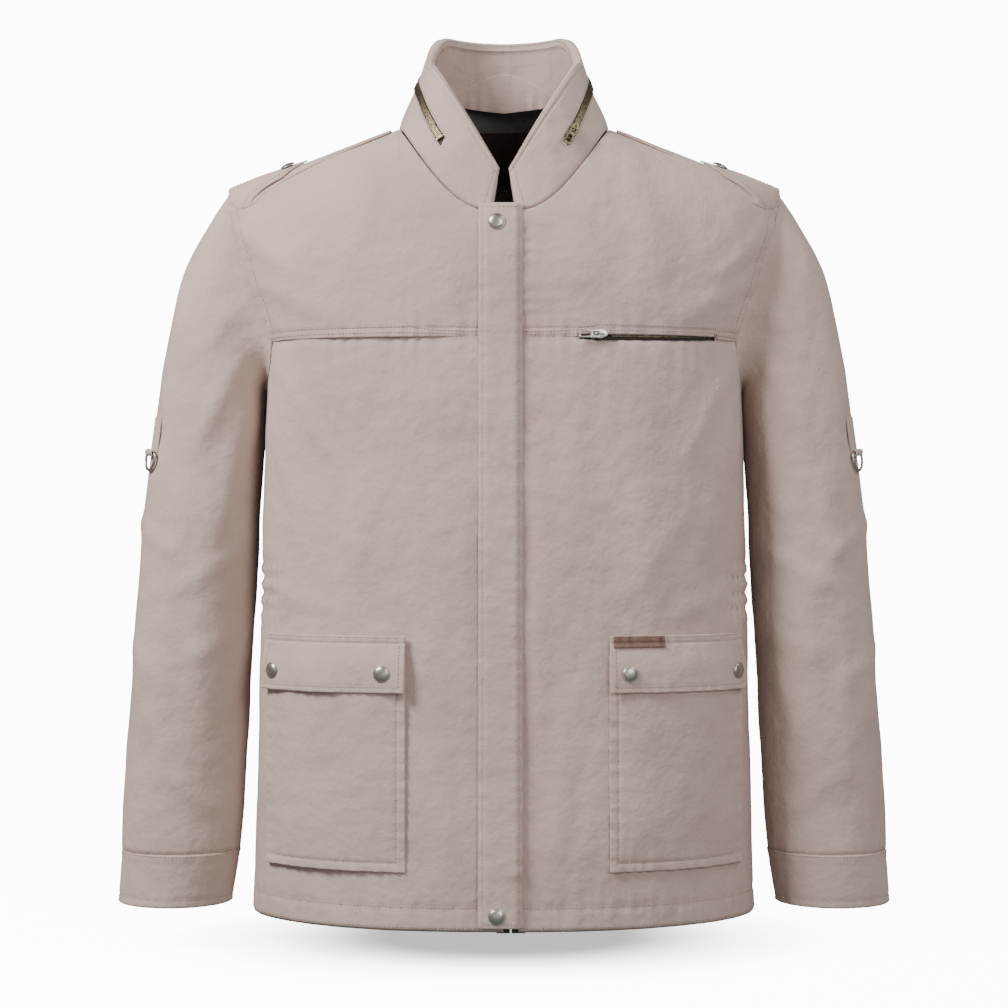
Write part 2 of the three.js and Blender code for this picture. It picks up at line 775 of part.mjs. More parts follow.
// The main zip is straight. Its frame has Z out of the front and X up along the teeth.
const zipSlope = (BODY.hemHalfDepth - BODY.chestHalfDepth) / bodyLength;
const zipUp = new THREE.Vector3(0, zipSlope, 1).normalize();
const zipOut = new THREE.Vector3(0, -1, zipSlope).normalize();
const zipAcross = zipOut.clone().cross(zipUp);
const zipTopY = -BODY.chestHalfDepth + zipSlope * (BODY.chestDrop - MAIN_ZIP.topDrop);
const zipTop = new THREE.Vector3(MAIN_ZIP.across, zipTopY, -MAIN_ZIP.topDrop);
zipTop.addScaledVector(zipOut, -MAIN_ZIP.inset);
const zipFrame = new THREE.Matrix4().makeBasis(zipUp, zipAcross, zipOut).setPosition(zipTop);
const zipLength = (MAIN_ZIP.bottomDrop - MAIN_ZIP.topDrop) / zipUp.z;

for (const side of ['right', 'left']) {
  const tape = new THREE.BoxGeometry(zipLength, MAIN_ZIP.tapeWidth, MAIN_ZIP.tapeThickness);
  const off = SIDES[side] * (MAIN_ZIP.tapeGap + MAIN_ZIP.tapeWidth) / 2;
  const outOff = zipAcross.x * off;
  tape.translate(-zipLength / 2, outOff, -MAIN_ZIP.tapeThickness / 2);
  addSeated(`${side}_zip_tape`, closed(tape), zipTape(), zipFrame);
}

const mainSeat = zipFrame.clone().multiply(
  new THREE.Matrix4().makeTranslation(-MAIN_ZIP.sliderDrop, 0, GAP),
);
const mainTravel = pivot('main_slider_travel', zipTop.clone(), zipUp);
addSlider('main_zip', mainSeat, mainTravel);

// ---------------------------------------------------------------- patch pockets with flaps
for (const side of ['right', 'left']) {
  const sign = SIDES[side];
  const inner = sign * POCKET.inner[side];
  const outer = sign * POCKET.outer[side];
  const columns = (v) => (up) => {
    const z = lerp(v[0], v[1], up);
    return [angleAt(inner, z), angleAt(outer, z)];
  };
  const bagZ = [-POCKET.bagBottomDrop, -POCKET.bagTopDrop];
  add(`${side}_pocket_bag`, bentSheet(bodySurface(FRONT), {
    u: columns(bagZ),
    v: bagZ,
    low: GAP,
    high: POCKET.bagThickness,
    steps: [9, 3],
  }), shellCloth());

  const flapZ = [-POCKET.flapBottomDrop, -POCKET.flapTopDrop];
  const first = onSurface(frontSurface, inner, flapZ[1], POCKET.flapThickness + GAP);
  const last = onSurface(frontSurface, outer, flapZ[1], POCKET.flapThickness + GAP);
  const chord = last.clone().sub(first).normalize();
  const chordOut = new THREE.Vector3(0, 0, 1).cross(chord).multiplyScalar(sign).normalize();
  const foremost = { out: -Infinity, place: first };
  for (let i = 0; i <= 40; i += 1) {
    const place = onSurface(frontSurface, lerp(inner, outer, i / 40), flapZ[1], POCKET.flapThickness + GAP);
    const out = place.clone().sub(first).dot(chordOut) * Math.sign(chordOut.y) * -1;
    if (out > foremost.out) Object.assign(foremost, { out, place });
  }
  const hinge = pivot(`${side}_flap_hinge`, foremost.place, chord.clone().multiplyScalar(-sign));
  add(`${side}_pocket_flap`, bentSheet(bodySurface(FRONT), {
    u: columns(flapZ),
    v: flapZ,
    low: (_, up) => lerp(POCKET.flapLift, GAP, smoothstep(up, 0.35, 1)),
    high: POCKET.flapThickness,
    steps: [9, 5],
  }), shellCloth(), hinge);

  const places = { inner: POCKET.snapInner[side], outer: POCKET.snapOuter[side] };
  for (const [place, distance] of Object.entries(places)) {
    const capLift = POCKET.flapLift + POCKET.flapThickness + GAP;
    const capSeat = seat(frontSurface, sign * distance, -POCKET.snapDrop, capLift);
    const studLift = GAP + POCKET.bagThickness + GAP;
    const studSeat = seat(frontSurface, sign * distance, -POCKET.snapDrop, studLift);
    addSeated(`${side}_flap_${place}_cap`, snapCap(), nickel(), capSeat, hinge);
    addSeated(`${side}_flap_${place}_stud`, snapStud(), nickel(), studSeat);
  }

  if (side === 'left') {
    add('flap_label', bentSheet(frontSurface, {
      u: [LABEL.inner, LABEL.inner + LABEL.width],
      v: [-POCKET.flapTopDrop - LABEL.height, -POCKET.flapTopDrop],
      low: (_, up) => labelLift(up),
      high: LABEL.thickness,
      steps: [3, 3],
    }), leather(), hinge);
  }
}

// The label lies on the flap, so it follows the flap's own lift over its height.
function labelLift(up) {
  const flapHeight = POCKET.flapBottomDrop - POCKET.flapTopDrop;
  const onFlap = 1 - ((1 - up) * LABEL.height) / flapHeight;
  const lift = lerp(POCKET.flapLift, GAP, smoothstep(onFlap, 0.35, 1));
  return lift + POCKET.flapThickness + 2 * GAP;
}

// ---------------------------------------------------------------- zipped chest pocket
const chestLow = -CLOTH - SAG;
const chestTop = -CHEST_ZIP.drop + CHEST_ZIP.tapeWidth / 2;
const chestFoot = -CHEST_ZIP.drop - CHEST_ZIP.tapeWidth / 2;
add('chest_zip_tape', bentSheet(frontSurface, {
  u: [CHEST_ZIP.inner - CHEST_ZIP.slot, CHEST_ZIP.outer],
  v: [chestFoot, chestTop],
  low: chestLow - CHEST_ZIP.tapeThickness,
  high: CHEST_ZIP.tapeThickness,
  steps: [10, 2],
}), zipTape());
add('chest_pocket_bag', bentSheet(frontSurface, {
  u: [CHEST_ZIP.inner, CHEST_ZIP.outer - CHEST_ZIP.tapeWidth],
  v: [chestFoot - GAP - CHEST_ZIP.bagDepth, chestFoot - GAP],
  low: chestLow - CHEST_ZIP.bagThickness,
  high: CHEST_ZIP.bagThickness,
  steps: [6, 4],
}), liningCloth());

const chestZipAt = (x, lift) => onSurface(frontSurface, x, -CHEST_ZIP.drop, lift);
const sliderRest = CHEST_ZIP.inner + SLIDER.pullLength;
const sliderStop = CHEST_ZIP.outer - SLIDER.length / 2;
const chestArc = circleThrough(
  chestZipAt(sliderRest, GAP),
  chestZipAt(CHEST_ZIP.arcMiddle, GAP + CHEST_ZIP.arcRise),
  chestZipAt(sliderStop, GAP + CHEST_ZIP.arcRise),
);
const chestTravel = pivot('chest_slider_travel', chestArc.centre, chestArc.axis);
addSlider('chest_zip', seat(frontSurface, sliderRest, -CHEST_ZIP.drop, GAP), chestTravel);

// ---------------------------------------------------------------- collar zip over the hood
function collarZipShare(turn) {
  const sideways = smoothstep(Math.abs(Math.sin(turn / 2)), Math.sin(COLLAR_ZIP.end / 2), Math.SQRT1_2);
  return lerp(COLLAR_ZIP.frontShare, COLLAR_ZIP.sideShare, sideways);
}

const collarZipSurface = {
  point(u, v) {
    const up = collarTop(u).sub(neckSeam(u)).length();
    return collarSurface.point(u, collarZipShare(u) + v / up);
  },
  core: collarSurface.core,
};

const collarTapeLift = collarSag(COLLAR_COLUMNS) / 2; // clear of the facets that stand out
add('collar_zip_tape', bentSheet(collarZipSurface, {
  u: [COLLAR_ZIP.end, 2 * Math.PI - COLLAR_ZIP.end],
  v: [-COLLAR_ZIP.halfWidth, COLLAR_ZIP.halfWidth],
  low: collarTapeLift,
  high: COLLAR_ZIP.thickness,
  steps: [COLLAR_COLUMNS, 1],
}), zipTape());

const collarLift = collarTapeLift + COLLAR_ZIP.thickness + GAP;
const collarRest = COLLAR_ZIP.end + THREE.MathUtils.degToRad(6);
const collarArc = circleThrough(
  onSurface(collarZipSurface, collarRest, 0, collarLift),
  onSurface(collarZipSurface, COLLAR_ZIP.arcMiddle, 0, collarLift + COLLAR_ZIP.arcRise),
  onSurface(collarZipSurface, COLLAR_ZIP.arcEnd, 0, collarLift + COLLAR_ZIP.arcRise),
);
const collarTravel = pivot('collar_slider_travel', collarArc.centre, collarArc.axis);
const collarSeat = seat(collarZipSurface, collarRest, 0, collarLift);
addSlider('collar_zip', collarSeat, collarTravel);

// ---------------------------------------------------------------- epaulettes
// The strap stops just short of the armhole seam, which leans in towards the front.
function strapEnd(y) {
  const h = across(y / armholeHalfDepth, SHOULDER.pointSquareness);
  return yokeWidth(h) - EPAULETTE.seamGap;
}

for (const side of ['right', 'left']) {
  const sign = SIDES[side];
  const end = SHOULDER.pointHalfWidth;
  const start = SHOULDER.neckHalfWidth + EPAULETTE.neckGap;
  const strap = bentSheet(shoulderSurface, {
    u: (up) => [sign * start, sign * strapEnd(lerp(EPAULETTE.front, EPAULETTE.back, up))],
    v: [EPAULETTE.front, EPAULETTE.back],
    low: EPAULETTE.strapLift,
    high: EPAULETTE.strapThickness,
    steps: [9, 5],
  });
  const snapX = sign * (end - EPAULETTE.snapFromEnd);
  const snapY = (EPAULETTE.front + EPAULETTE.back) / 2;
  const studSeat = seat(shoulderSurface, snapX, snapY, EPAULETTE.strapLift + EPAULETTE.strapThickness - GAP);
  const stud = snapStud().applyMatrix4(studSeat);
  add(`${side}_epaulette_strap`, joined(strap, stud), shellCloth());

  const foldLift = EPAULETTE.tipLift + EPAULETTE.tipThickness;
  const foldPlace = onSurface(shoulderSurface, sign * strapEnd(snapY), snapY, foldLift);
  const hinge = pivot(`${side}_tip_hinge`, foldPlace, new THREE.Vector3(0, sign, 0));
  const tipEnd = end - EPAULETTE.tipLength;
  add(`${side}_epaulette_tip`, bentSheet(shoulderSurface, {
    u: (up) => [sign * tipEnd, sign * strapEnd(lerp(EPAULETTE.front, EPAULETTE.back, up))],
    v: (share) => {
      const full = clamp((share * EPAULETTE.tipLength) / EPAULETTE.tipPoint, 0, 1);
      const shareHere = lerp(EPAULETTE.tipEndShare, EPAULETTE.tipSideShare, full);
      const half = ((EPAULETTE.back - EPAULETTE.front) / 2) * shareHere;
      return [snapY - half, snapY + half];
    },
    low: EPAULETTE.tipLift,
    high: EPAULETTE.tipThickness,
    steps: [7, 6],
  }), shellCloth(), hinge);
  const capSeat = seat(shoulderSurface, snapX, snapY, foldLift + 2 * GAP);
  addSeated(`${side}_epaulette_cap`, snapCap(), nickel(), capSeat, hinge);
}

// ---------------------------------------------------------------- sleeves
const besideBody = ([beyond, drop]) => new THREE.Vector3(bodySection(-drop).width + beyond, 0, -drop);
const outerLine = new THREE.CubicBezierCurve3(...SLEEVE.outer.map(besideBody));
const innerLine = new THREE.CubicBezierCurve3(...SLEEVE.inner.map(besideBody));

// The armhole seam: turn 0 is the shoulder point and a half turn is the underarm.
function armhole(turn) {
  const up = Math.cos(turn);
  if (up > 0) {
    const h = across(Math.abs(Math.sin(turn)), 2) ** (2 / SHOULDER.pointSquareness);
    const y = -armholeHalfDepth * shaped(Math.sin(turn), SHOULDER.pointSquareness);
    return new THREE.Vector3(yokeWidth(h), y, lerp(chestZ, -SHOULDER.pointDrop, h));
  }
  const y = -armholeHalfDepth * Math.sin(turn);
  const z = chestZ + SHOULDER.underarmDrop * up;
  const { width, depth, squareness } = bodySection(z);
  return new THREE.Vector3(width * across(y / depth, squareness), y, z);
}

// The sleeve: u is the turn round it, v runs from 0 at the armhole to 1 at the wrist.
function sleeveSurface(sign) {
  const wristRing = (turn, v) => {
    const outer = outerLine.getPoint(clamp(v, 0, 1));
    const inner = innerLine.getPoint(clamp(v, 0, 1));
    const below = Math.max(v - 1, 0);
    outer.add(new THREE.Vector3(CUFF.outerSpread, 0, -CUFF.height).multiplyScalar(below));
    inner.add(new THREE.Vector3(CUFF.innerDraw, 0, -CUFF.height).multiplyScalar(below));
    const t = clamp(v, 0, 1);
    const early = armholeHalfDepth * (1 - t) ** 2 + 2 * SLEEVE.middleHalfDepth * t * (1 - t);
    const depth = early + SLEEVE.wristHalfDepth * t * t + (CUFF.halfDepth - SLEEVE.wristHalfDepth) * below;
    const centre = outer.clone().add(inner).multiplyScalar(0.5);
    const half = outer.sub(inner).multiplyScalar(0.5);
    centre.y -= SLEEVE.wristForward * t;
    return centre.addScaledVector(half, Math.cos(turn)).add(new THREE.Vector3(0, -depth * Math.sin(turn), 0));
  };
  const ring = (turn, v) => {
    const seam = armhole(turn).add(new THREE.Vector3(SAG, 0, 0));
    return seam.lerp(wristRing(turn, v), smoothstep(v, 0, SLEEVE.capBlend));
  };
  return {
    point(u, v) {
      const p = ring(u, Math.max(v, 0));
      return new THREE.Vector3(sign * p.x, p.y, p.z);
    },
    core(p) {
      let best = { gap: Infinity, middle: p };
      for (let i = 0; i <= 20; i += 1) {
        const v = (i / 20) * 2;
        const middle = wristRing(0, v).add(wristRing(Math.PI, v)).multiplyScalar(0.5);
        middle.x *= sign;
        const gap = middle.distanceToSquared(p);
        if (gap < best.gap) best = { gap, middle };
      }
      return best.middle;
    },
  };
}

// The D ring, standing in its own plane: its bar is the flat top, its bow hangs below.
function dRing() {
  const torus = new THREE.TorusGeometry(2, 1, 5, 20);
  const bow = (turn) => {
    const flat = Math.sin(turn) > 0;
    const x = RING.halfWidth * (flat ? shaped(Math.cos(turn), RING.barSquareness) : Math.cos(turn));
    const barY = RING.barHeight * shaped(Math.sin(turn), RING.barSquareness);
    const y = flat ? barY : RING.halfWidth * Math.sin(turn);
    return new THREE.Vector2(x, y);
  };
  return mapped(torus, (p) => {
    const turn = Math.atan2(p.y, p.x);
    const middle = bow(turn);
    const side = Math.hypot(p.x, p.y) - 2;
    const out = bow(turn + STEP).sub(bow(turn - STEP)).normalize();
    const place = new THREE.Vector3(middle.x + out.y * side * RING.wire, middle.y - out.x * side * RING.wire);
    return place.setZ(p.z * RING.wire).add(new THREE.Vector3(0, -RING.barHeight, 0));
  });
}

// The tab: a flat strap whose lower end is folded into an eye round the ring's bar.
function ringTab() {
  const eyeOuter = RING.eyeInner + RING.eyeWall;
  const outline = new THREE.Shape();
  const thick = RING.tabThickness;
  outline.moveTo(-eyeOuter, RING.tabLength);
  outline.lineTo(-eyeOuter, 0);
  outline.absarc(0, 0, eyeOuter, Math.PI, 2.5 * Math.PI, false);
  outline.lineTo(-eyeOuter + thick, eyeOuter);
  outline.lineTo(-eyeOuter + thick, RING.tabLength);
  const eye = new THREE.Path();
  eye.absarc(0, 0, RING.eyeInner, 0, 2 * Math.PI, false);
  outline.holes.push(eye);
  const strip = new THREE.ExtrudeGeometry(outline, {
    depth: RING.tabWidth,
    bevelEnabled: false,
    curveSegments: 8,
  });
  strip.translate(0, 0, -RING.tabWidth / 2);
  const turned = new THREE.Matrix4().makeBasis(
    new THREE.Vector3(0, 0, 1), new THREE.Vector3(0, 1, 0), new THREE.Vector3(-1, 0, 0),
  );
  return closed(strip.applyMatrix4(turned));
}

for (const side of ['right', 'left']) {
  const sign = SIDES[side];
  const surface = sleeveSurface(sign);
  const shoulder = new THREE.Vector3(sign * SHOULDER.pointHalfWidth, 0, -SHOULDER.pointDrop);
  const hinge = pivot(`${side}_shoulder_hinge`, shoulder, new THREE.Vector3(0, -sign, 0));
  add(`${side}_sleeve`, tubeWall(surface, {
    v: [0, 1], low: -CLOTH, high: CLOTH, steps: [20, 10],
  }), shellCloth(), hinge);
  add(`${side}_cuff`, tubeWall(surface, {
    v: [1 + GAP / CUFF.height, 2], low: -CUFF.thickness, high: CUFF.thickness, steps: [20, 1],
  }), shellCloth(), hinge);
  add(`${side}_sleeve_lining`, tubeWall(surface, {
    v: [SLEEVE.liningFrom, SLEEVE.liningTo], low: -SLEEVE.liningDepth - LINING, high: LINING, steps: [14, 7],
  }), liningCloth(), hinge);

  const eyeOuter = RING.eyeInner + RING.eyeWall;
  const flatSeat = seat(surface, RING.turn, RING.along, eyeOuter + 2 * GAP);
  const away = new THREE.Vector3().setFromMatrixColumn(flatSeat, 2);
  const downSleeve = surface.point(RING.turn, RING.along + STEP).sub(surface.point(RING.turn, RING.along));
  const up = downSleeve.addScaledVector(away, -downSleeve.dot(away)).normalize().negate();
  const barAxis = up.clone().cross(away);
  const origin = new THREE.Vector3().setFromMatrixPosition(flatSeat);
  const tabFrame = new THREE.Matrix4().makeBasis(barAxis, up, away).setPosition(origin);
  addSeated(`${side}_ring_tab`, ringTab(), shellCloth(), tabFrame, hinge);
  const ringHinge = pivot(`${side}_ring_hinge`, origin, barAxis.clone().negate(), hinge);
  addSeated(`${side}_ring`, dRing(), nickel(), tabFrame, ringHinge);
}

// ---------------------------------------------------------------- elastic at the sides of the waist
const flareSag = SAG * (BODY.hemHalfWidth / BODY.chestHalfWidth) ** 3; // facets sag more on a wide hem
for (const side of ['right', 'left']) {
  const sign = SIDES[side];
  const around = {
    point(u, v) {
      const { width, depth, squareness } = bodySection(v);
      return new THREE.Vector3(
        sign * width * shaped(Math.cos(u), squareness), depth * shaped(Math.sin(u), squareness), v,
      );
    },
    core: (p) => new THREE.Vector3(0, 0, p.z),
  };
  add(`${side}_waist_elastic`, bentSheet(around, {
    u: [-ELASTIC.halfTurn, ELASTIC.halfTurn],
    v: [-ELASTIC.bottomDrop, -ELASTIC.topDrop],
    low: -CLOTH - flareSag - ELASTIC.thickness,
    high: ELASTIC.thickness,
    steps: [8, 1],
  }), rubberBand());
}

export default jacket;
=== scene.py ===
# %% [markdown]
# # A field jacket, piece by piece
#
# The frame gives the jacket's bodies and the box of every piece. Each cell below makes
# one kind of piece on a smooth surface that follows the frame: cloth first, then the
# stitches that hold it, then the metal. Lengths are in metres, with +Z up and the front
# facing -Y.

# %%
# The frame and the tools
import math

import bpy
import numpy as np
from mathutils import Matrix, Vector, noise


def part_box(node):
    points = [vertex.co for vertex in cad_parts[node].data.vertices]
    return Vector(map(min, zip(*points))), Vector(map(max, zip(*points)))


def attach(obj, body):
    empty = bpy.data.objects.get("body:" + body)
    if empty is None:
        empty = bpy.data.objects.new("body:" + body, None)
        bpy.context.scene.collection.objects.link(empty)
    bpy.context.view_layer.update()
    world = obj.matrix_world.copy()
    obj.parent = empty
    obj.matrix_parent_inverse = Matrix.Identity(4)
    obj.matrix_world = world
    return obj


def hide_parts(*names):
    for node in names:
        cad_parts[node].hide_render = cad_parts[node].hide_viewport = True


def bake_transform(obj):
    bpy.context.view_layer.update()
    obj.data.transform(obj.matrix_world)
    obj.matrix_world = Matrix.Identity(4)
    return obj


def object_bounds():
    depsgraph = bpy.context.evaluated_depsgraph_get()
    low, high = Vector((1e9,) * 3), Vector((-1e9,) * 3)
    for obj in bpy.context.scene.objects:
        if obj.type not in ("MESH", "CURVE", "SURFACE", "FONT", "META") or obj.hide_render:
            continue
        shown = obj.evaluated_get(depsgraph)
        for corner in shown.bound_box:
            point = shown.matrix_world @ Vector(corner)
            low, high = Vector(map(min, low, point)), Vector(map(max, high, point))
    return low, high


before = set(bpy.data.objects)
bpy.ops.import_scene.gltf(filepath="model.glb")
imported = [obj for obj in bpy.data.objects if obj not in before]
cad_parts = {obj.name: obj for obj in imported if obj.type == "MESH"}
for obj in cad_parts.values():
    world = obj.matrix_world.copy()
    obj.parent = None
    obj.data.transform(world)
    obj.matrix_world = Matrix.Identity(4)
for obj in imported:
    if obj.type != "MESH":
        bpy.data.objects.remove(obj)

cad_low, cad_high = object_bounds()
MM = 0.001
print("frame box", [round(x, 3) for x in cad_low], [round(x, 3) for x in cad_high])

# %% [markdown]
# ## Camera and light
# The camera stands level with the middle of the jacket. A white sweep, a broad light
# from the upper left and weaker ones opposite and overhead give soft, even shading.
# The soft shadow on the floor under the jacket is painted shade in the sweep's glow.

# %%
# Camera, sweep and lights
CAMERA_BACK, CAMERA_HEIGHT, LENS = 2.05, -0.351, 77.1
scene = bpy.context.scene
camera = bpy.data.objects.new("camera", bpy.data.cameras.new("camera"))
camera.data.lens = LENS
camera.data.sensor_width = 36
camera.location = (0, -CAMERA_BACK, CAMERA_HEIGHT)
camera.rotation_euler = (math.radians(90), 0, 0)
scene.collection.objects.link(camera)
scene.camera = camera


def linear(hex_colour):
    """A six-digit sRGB colour as linear red, green and blue."""
    parts = [int(hex_colour[i : i + 2], 16) / 255 for i in (0, 2, 4)]
    return [c / 12.92 if c < 0.04045 else ((c + 0.055) / 1.055) ** 2.4 for c in parts]


# The sweep glows at PAPER_GLOW, and less, down to SHADOW_GLOW, within SHADOW_REACH of the floor under the
# jacket: that dimmer patch is a painted shadow.
PAPER_GLOW, SHADOW_GLOW = 12.0, 0.75
SHADOW_REACH = (0.36, 0.24, 0.36)
SHADOW_CENTRE_Y = 0.03


def sweep():
    """A round glowing floor that curves up into a wall on every side of the jacket, with a shadow painted
    into its glow under the jacket.
    """
    floor, wall, radius, around = cad_low[2] - 0.035, 7.0, 1.5, 96
    profile = [(wall - radius, floor)]
    for i in range(1, 13):
        turn = math.radians(90 * i / 12)
        profile.append((wall - radius + radius * math.sin(turn), floor + radius * (1 - math.cos(turn))))
    profile.append((wall, floor + 12))
    turns = [2 * math.pi * k / around for k in range(around)]
    verts = [(r * math.cos(t), r * math.sin(t), z) for r, z in profile for t in turns] + [(0, 0, floor)]
    middle = len(verts) - 1
    faces = [(middle, k, (k + 1) % around) for k in range(around)]
    for i in range(0, middle - around, around):
        for k in range(around):
            j = (k + 1) % around
            faces.append((i + k, i + around + k, i + around + j, i + j))
    mesh = bpy.data.meshes.new("sweep")
    mesh.from_pydata(verts, [], faces)
    mesh.polygons.foreach_set("use_smooth", [True] * len(mesh.polygons))
    obj = bpy.data.objects.new("sweep", mesh)
    scene.collection.objects.link(obj)
    paper = bpy.data.materials.new("sweep_paper")
    paper.use_nodes = True
    shader = paper.node_tree.nodes["Principled BSDF"]
    shader.inputs["Base Color"].default_value = (*linear("fbfbfb"), 1)
    shader.inputs["Roughness"].default_value = 0.9
    shader.inputs["Emission Color"].default_value = (1, 1, 1, 1)
    tree = paper.node_tree
    place = tree.nodes.new("ShaderNodeTexCoord")
    fit = tree.nodes.new("ShaderNodeMapping")
    centre = (0, SHADOW_CENTRE_Y, floor)
    fit.inputs["Location"].default_value = [-c / r for c, r in zip(centre, SHADOW_REACH)]
    fit.inputs["Scale"].default_value = [1 / r for r in SHADOW_REACH]
    # Painted shadow: the glow fades towards the floor's middle under the jacket.
    fall = tree.nodes.new("ShaderNodeTexGradient")
    fall.gradient_type = "SPHERICAL"
    glow_and_painted_shadow = tree.nodes.new("ShaderNodeMapRange")
    glow_and_painted_shadow.interpolation_type = "SMOOTHSTEP"
    glow_and_painted_shadow.inputs["From Max"].default_value = 0.7
    glow_and_painted_shadow.inputs["To Min"].default_value = PAPER_GLOW
    glow_and_painted_shadow.inputs["To Max"].default_value = SHADOW_GLOW
    tree.links.new(place.outputs["Object"], fit.inputs["Vector"])
    tree.links.new(fit.outputs["Vector"], fall.inputs["Vector"])
    tree.links.new(fall.outputs["Fac"], glow_and_painted_shadow.inputs["Value"])
    tree.links.new(glow_and_painted_shadow.outputs["Result"], shader.inputs["Emission Strength"])
    mesh.materials.append(paper)
    obj.visible_diffuse = False
    obj.visible_glossy = False


def area_light(name, place, aim, size, power):
    data = bpy.data.lights.new(name, "AREA")
    data.shape = "RECTANGLE"
    data.size, data.size_y = size
    data.energy = power
    obj = bpy.data.objects.new(name, data)
    obj.location = place
    obj.rotation_euler = (Vector(aim) - Vector(place)).to_track_quat("-Z", "Y").to_euler()
    scene.collection.objects.link(obj)


sweep()
area_light("key", (-1.5, -1.0, 1.0), (0, 0, -0.38), (0.7, 0.7), 72)
area_light("fill", (1.2, -2.4, 0.5), (0, 0, -0.4), (1.0, 1.0), 30)
area_light("rim", (1.4, -0.5, 1.2), (0, 0, -0.3), (0.7, 0.7), 12)
area_light("low", (0, -2.6, -0.5), (0, 0, -0.5), (2.0, 0.8), 5)
world = bpy.data.worlds.new("studio")
world.use_nodes = True
world.node_tree.nodes["Background"].inputs["Color"].default_value = (1, 1, 1, 1)
world.node_tree.nodes["Background"].inputs["Strength"].default_value = 0.22
scene.world = world

# %% [markdown]
# ## Materials
# The shell is a washed cotton and microfibre twill: matt, a little sheen, faint slubs
# along the warp. The metals are antiqued brass on the zips and nickel on snaps and rings.

# %%
# Materials
def node(tree, kind, inputs=None, **settings):
    """Adds a node, sets its properties and its inputs, and links any input given as a socket."""
    made = tree.nodes.new(kind)
    for key, value in settings.items():
        setattr(made, key, value)
    for key, value in (inputs or {}).items():
        if isinstance(value, bpy.types.NodeSocket):
            tree.links.new(value, made.inputs[key])
        else:
            made.inputs[key].default_value = value
    return made


def blank(name, roughness, metallic=0.0):
    material = bpy.data.materials.new(name)
    material.use_nodes = True
    shader = material.node_tree.nodes["Principled BSDF"]
    shader.inputs["Roughness"].default_value = roughness
    shader.inputs["Metallic"].default_value = metallic
    return material, material.node_tree, shader


def paint(tree, shader, share, dark, dark_at, light, light_at):
    """Runs the base colour from dark to light as share grows."""
    ramp = node(tree, "ShaderNodeValToRGB", {"Fac": share})
    for end, (colour, at) in zip(ramp.color_ramp.elements, ((dark, dark_at), (light, light_at))):
        end.position = at
        end.color = (*linear(colour), 1)
    tree.links.new(ramp.outputs["Color"], shader.inputs["Base Color"])


def cloth(name, light, dark, roughness, sheen, weave_mm, crumple, slub=0.35):
    """Woven cloth: UV in metres, threads weave_mm apart, crumple is the height of soft dents in mm."""
    material, tree, shader = blank(name, roughness)
    shader.inputs["Sheen Weight"].default_value = sheen
    shader.inputs["Sheen Roughness"].default_value = 0.5
    shader.inputs["Specular IOR Level"].default_value = 0.25
    place = node(tree, "ShaderNodeTexCoord")
    warp = node(tree, "ShaderNodeMapping", {"Vector": place.outputs["UV"], "Scale": (2600, 120, 1)})
    weft = node(tree, "ShaderNodeMapping", {"Vector": place.outputs["UV"], "Scale": (150, 2200, 1)})
    slubs = node(tree, "ShaderNodeTexNoise", {"Vector": warp.outputs[0], "Scale": 1.0, "Detail": 2.0})
    picks = node(tree, "ShaderNodeTexNoise", {"Vector": weft.outputs[0], "Scale": 1.0, "Detail": 2.0})
    clouds = node(
        tree, "ShaderNodeTexNoise", {"Vector": place.outputs["Object"], "Scale": 14.0, "Detail": 4.0}
    )
    threads = node(
        tree, "ShaderNodeMath", {0: slubs.outputs["Fac"], 1: picks.outputs["Fac"]}, operation="ADD"
    )
    blend = node(
        tree, "ShaderNodeMath", {0: threads.outputs[0], 1: slub, 2: clouds.outputs["Fac"]},
        operation="MULTIPLY_ADD",
    )
    paint(tree, shader, blend.outputs[0], dark, 0.45, light, 1.15 if slub > 0.3 else 0.95)
    pitch = 1000 / weave_mm
    fine = node(
        tree, "ShaderNodeTexNoise", {"Vector": place.outputs["UV"], "Scale": pitch, "Detail": 2.0}
    )
    dents = node(
        tree, "ShaderNodeTexNoise",
        {"Vector": place.outputs["Object"], "Scale": 55.0, "Detail": 3.0, "Roughness": 0.55},
    )
    weave = node(
        tree, "ShaderNodeBump",
        {"Height": fine.outputs["Fac"], "Strength": 0.6, "Distance": 0.22 * MM * weave_mm},
    )
    soft = node(
        tree, "ShaderNodeBump",
        {
            "Height": dents.outputs["Fac"], "Strength": 1.0, "Distance": crumple * MM,
            "Normal": weave.outputs["Normal"],
        },
    )
    tree.links.new(soft.outputs["Normal"], shader.inputs["Normal"])
    return material


def metal(name, light, dark, roughness, wear):
    """Plated or aged metal: darker where the noise is low, which reads as tarnish."""
    material, tree, shader = blank(name, roughness, 1.0)
    place = node(tree, "ShaderNodeTexCoord")
    tarnish = node(
        tree, "ShaderNodeTexNoise", {"Vector": place.outputs["Object"], "Scale": 420.0, "Detail": 4.0}
    )
    paint(tree, shader, tarnish.outputs["Fac"], dark, 0.5 - wear, light, 0.6)
    rough = node(
        tree, "ShaderNodeMapRange",
        {"Value": tarnish.outputs["Fac"], "To Min": roughness + 0.12, "To Max": roughness},
    )
    tree.links.new(rough.outputs[0], shader.inputs["Roughness"])
    return material


def hide():
    """Smooth brown leather with a fine pebble and paler, rubbed high spots."""
    material, tree, shader = blank("label_leather", 0.55)
    place = node(tree, "ShaderNodeTexCoord")
    pebble = node(tree, "ShaderNodeTexVoronoi", {"Vector": place.outputs["Object"], "Scale": 900.0})
    rubbed = node(
        tree, "ShaderNodeTexNoise", {"Vector": place.outputs["Object"], "Scale": 260.0, "Detail": 2.0}
    )
    paint(tree, shader, rubbed.outputs["Fac"], "63483d", 0.35, "7a5a4c", 0.75)
    bump = node(
        tree, "ShaderNodeBump",
        {"Height": pebble.outputs["Distance"], "Strength": 0.3, "Distance": 0.1 * MM},
    )
    tree.links.new(bump.outputs["Normal"], shader.inputs["Normal"])
    return material


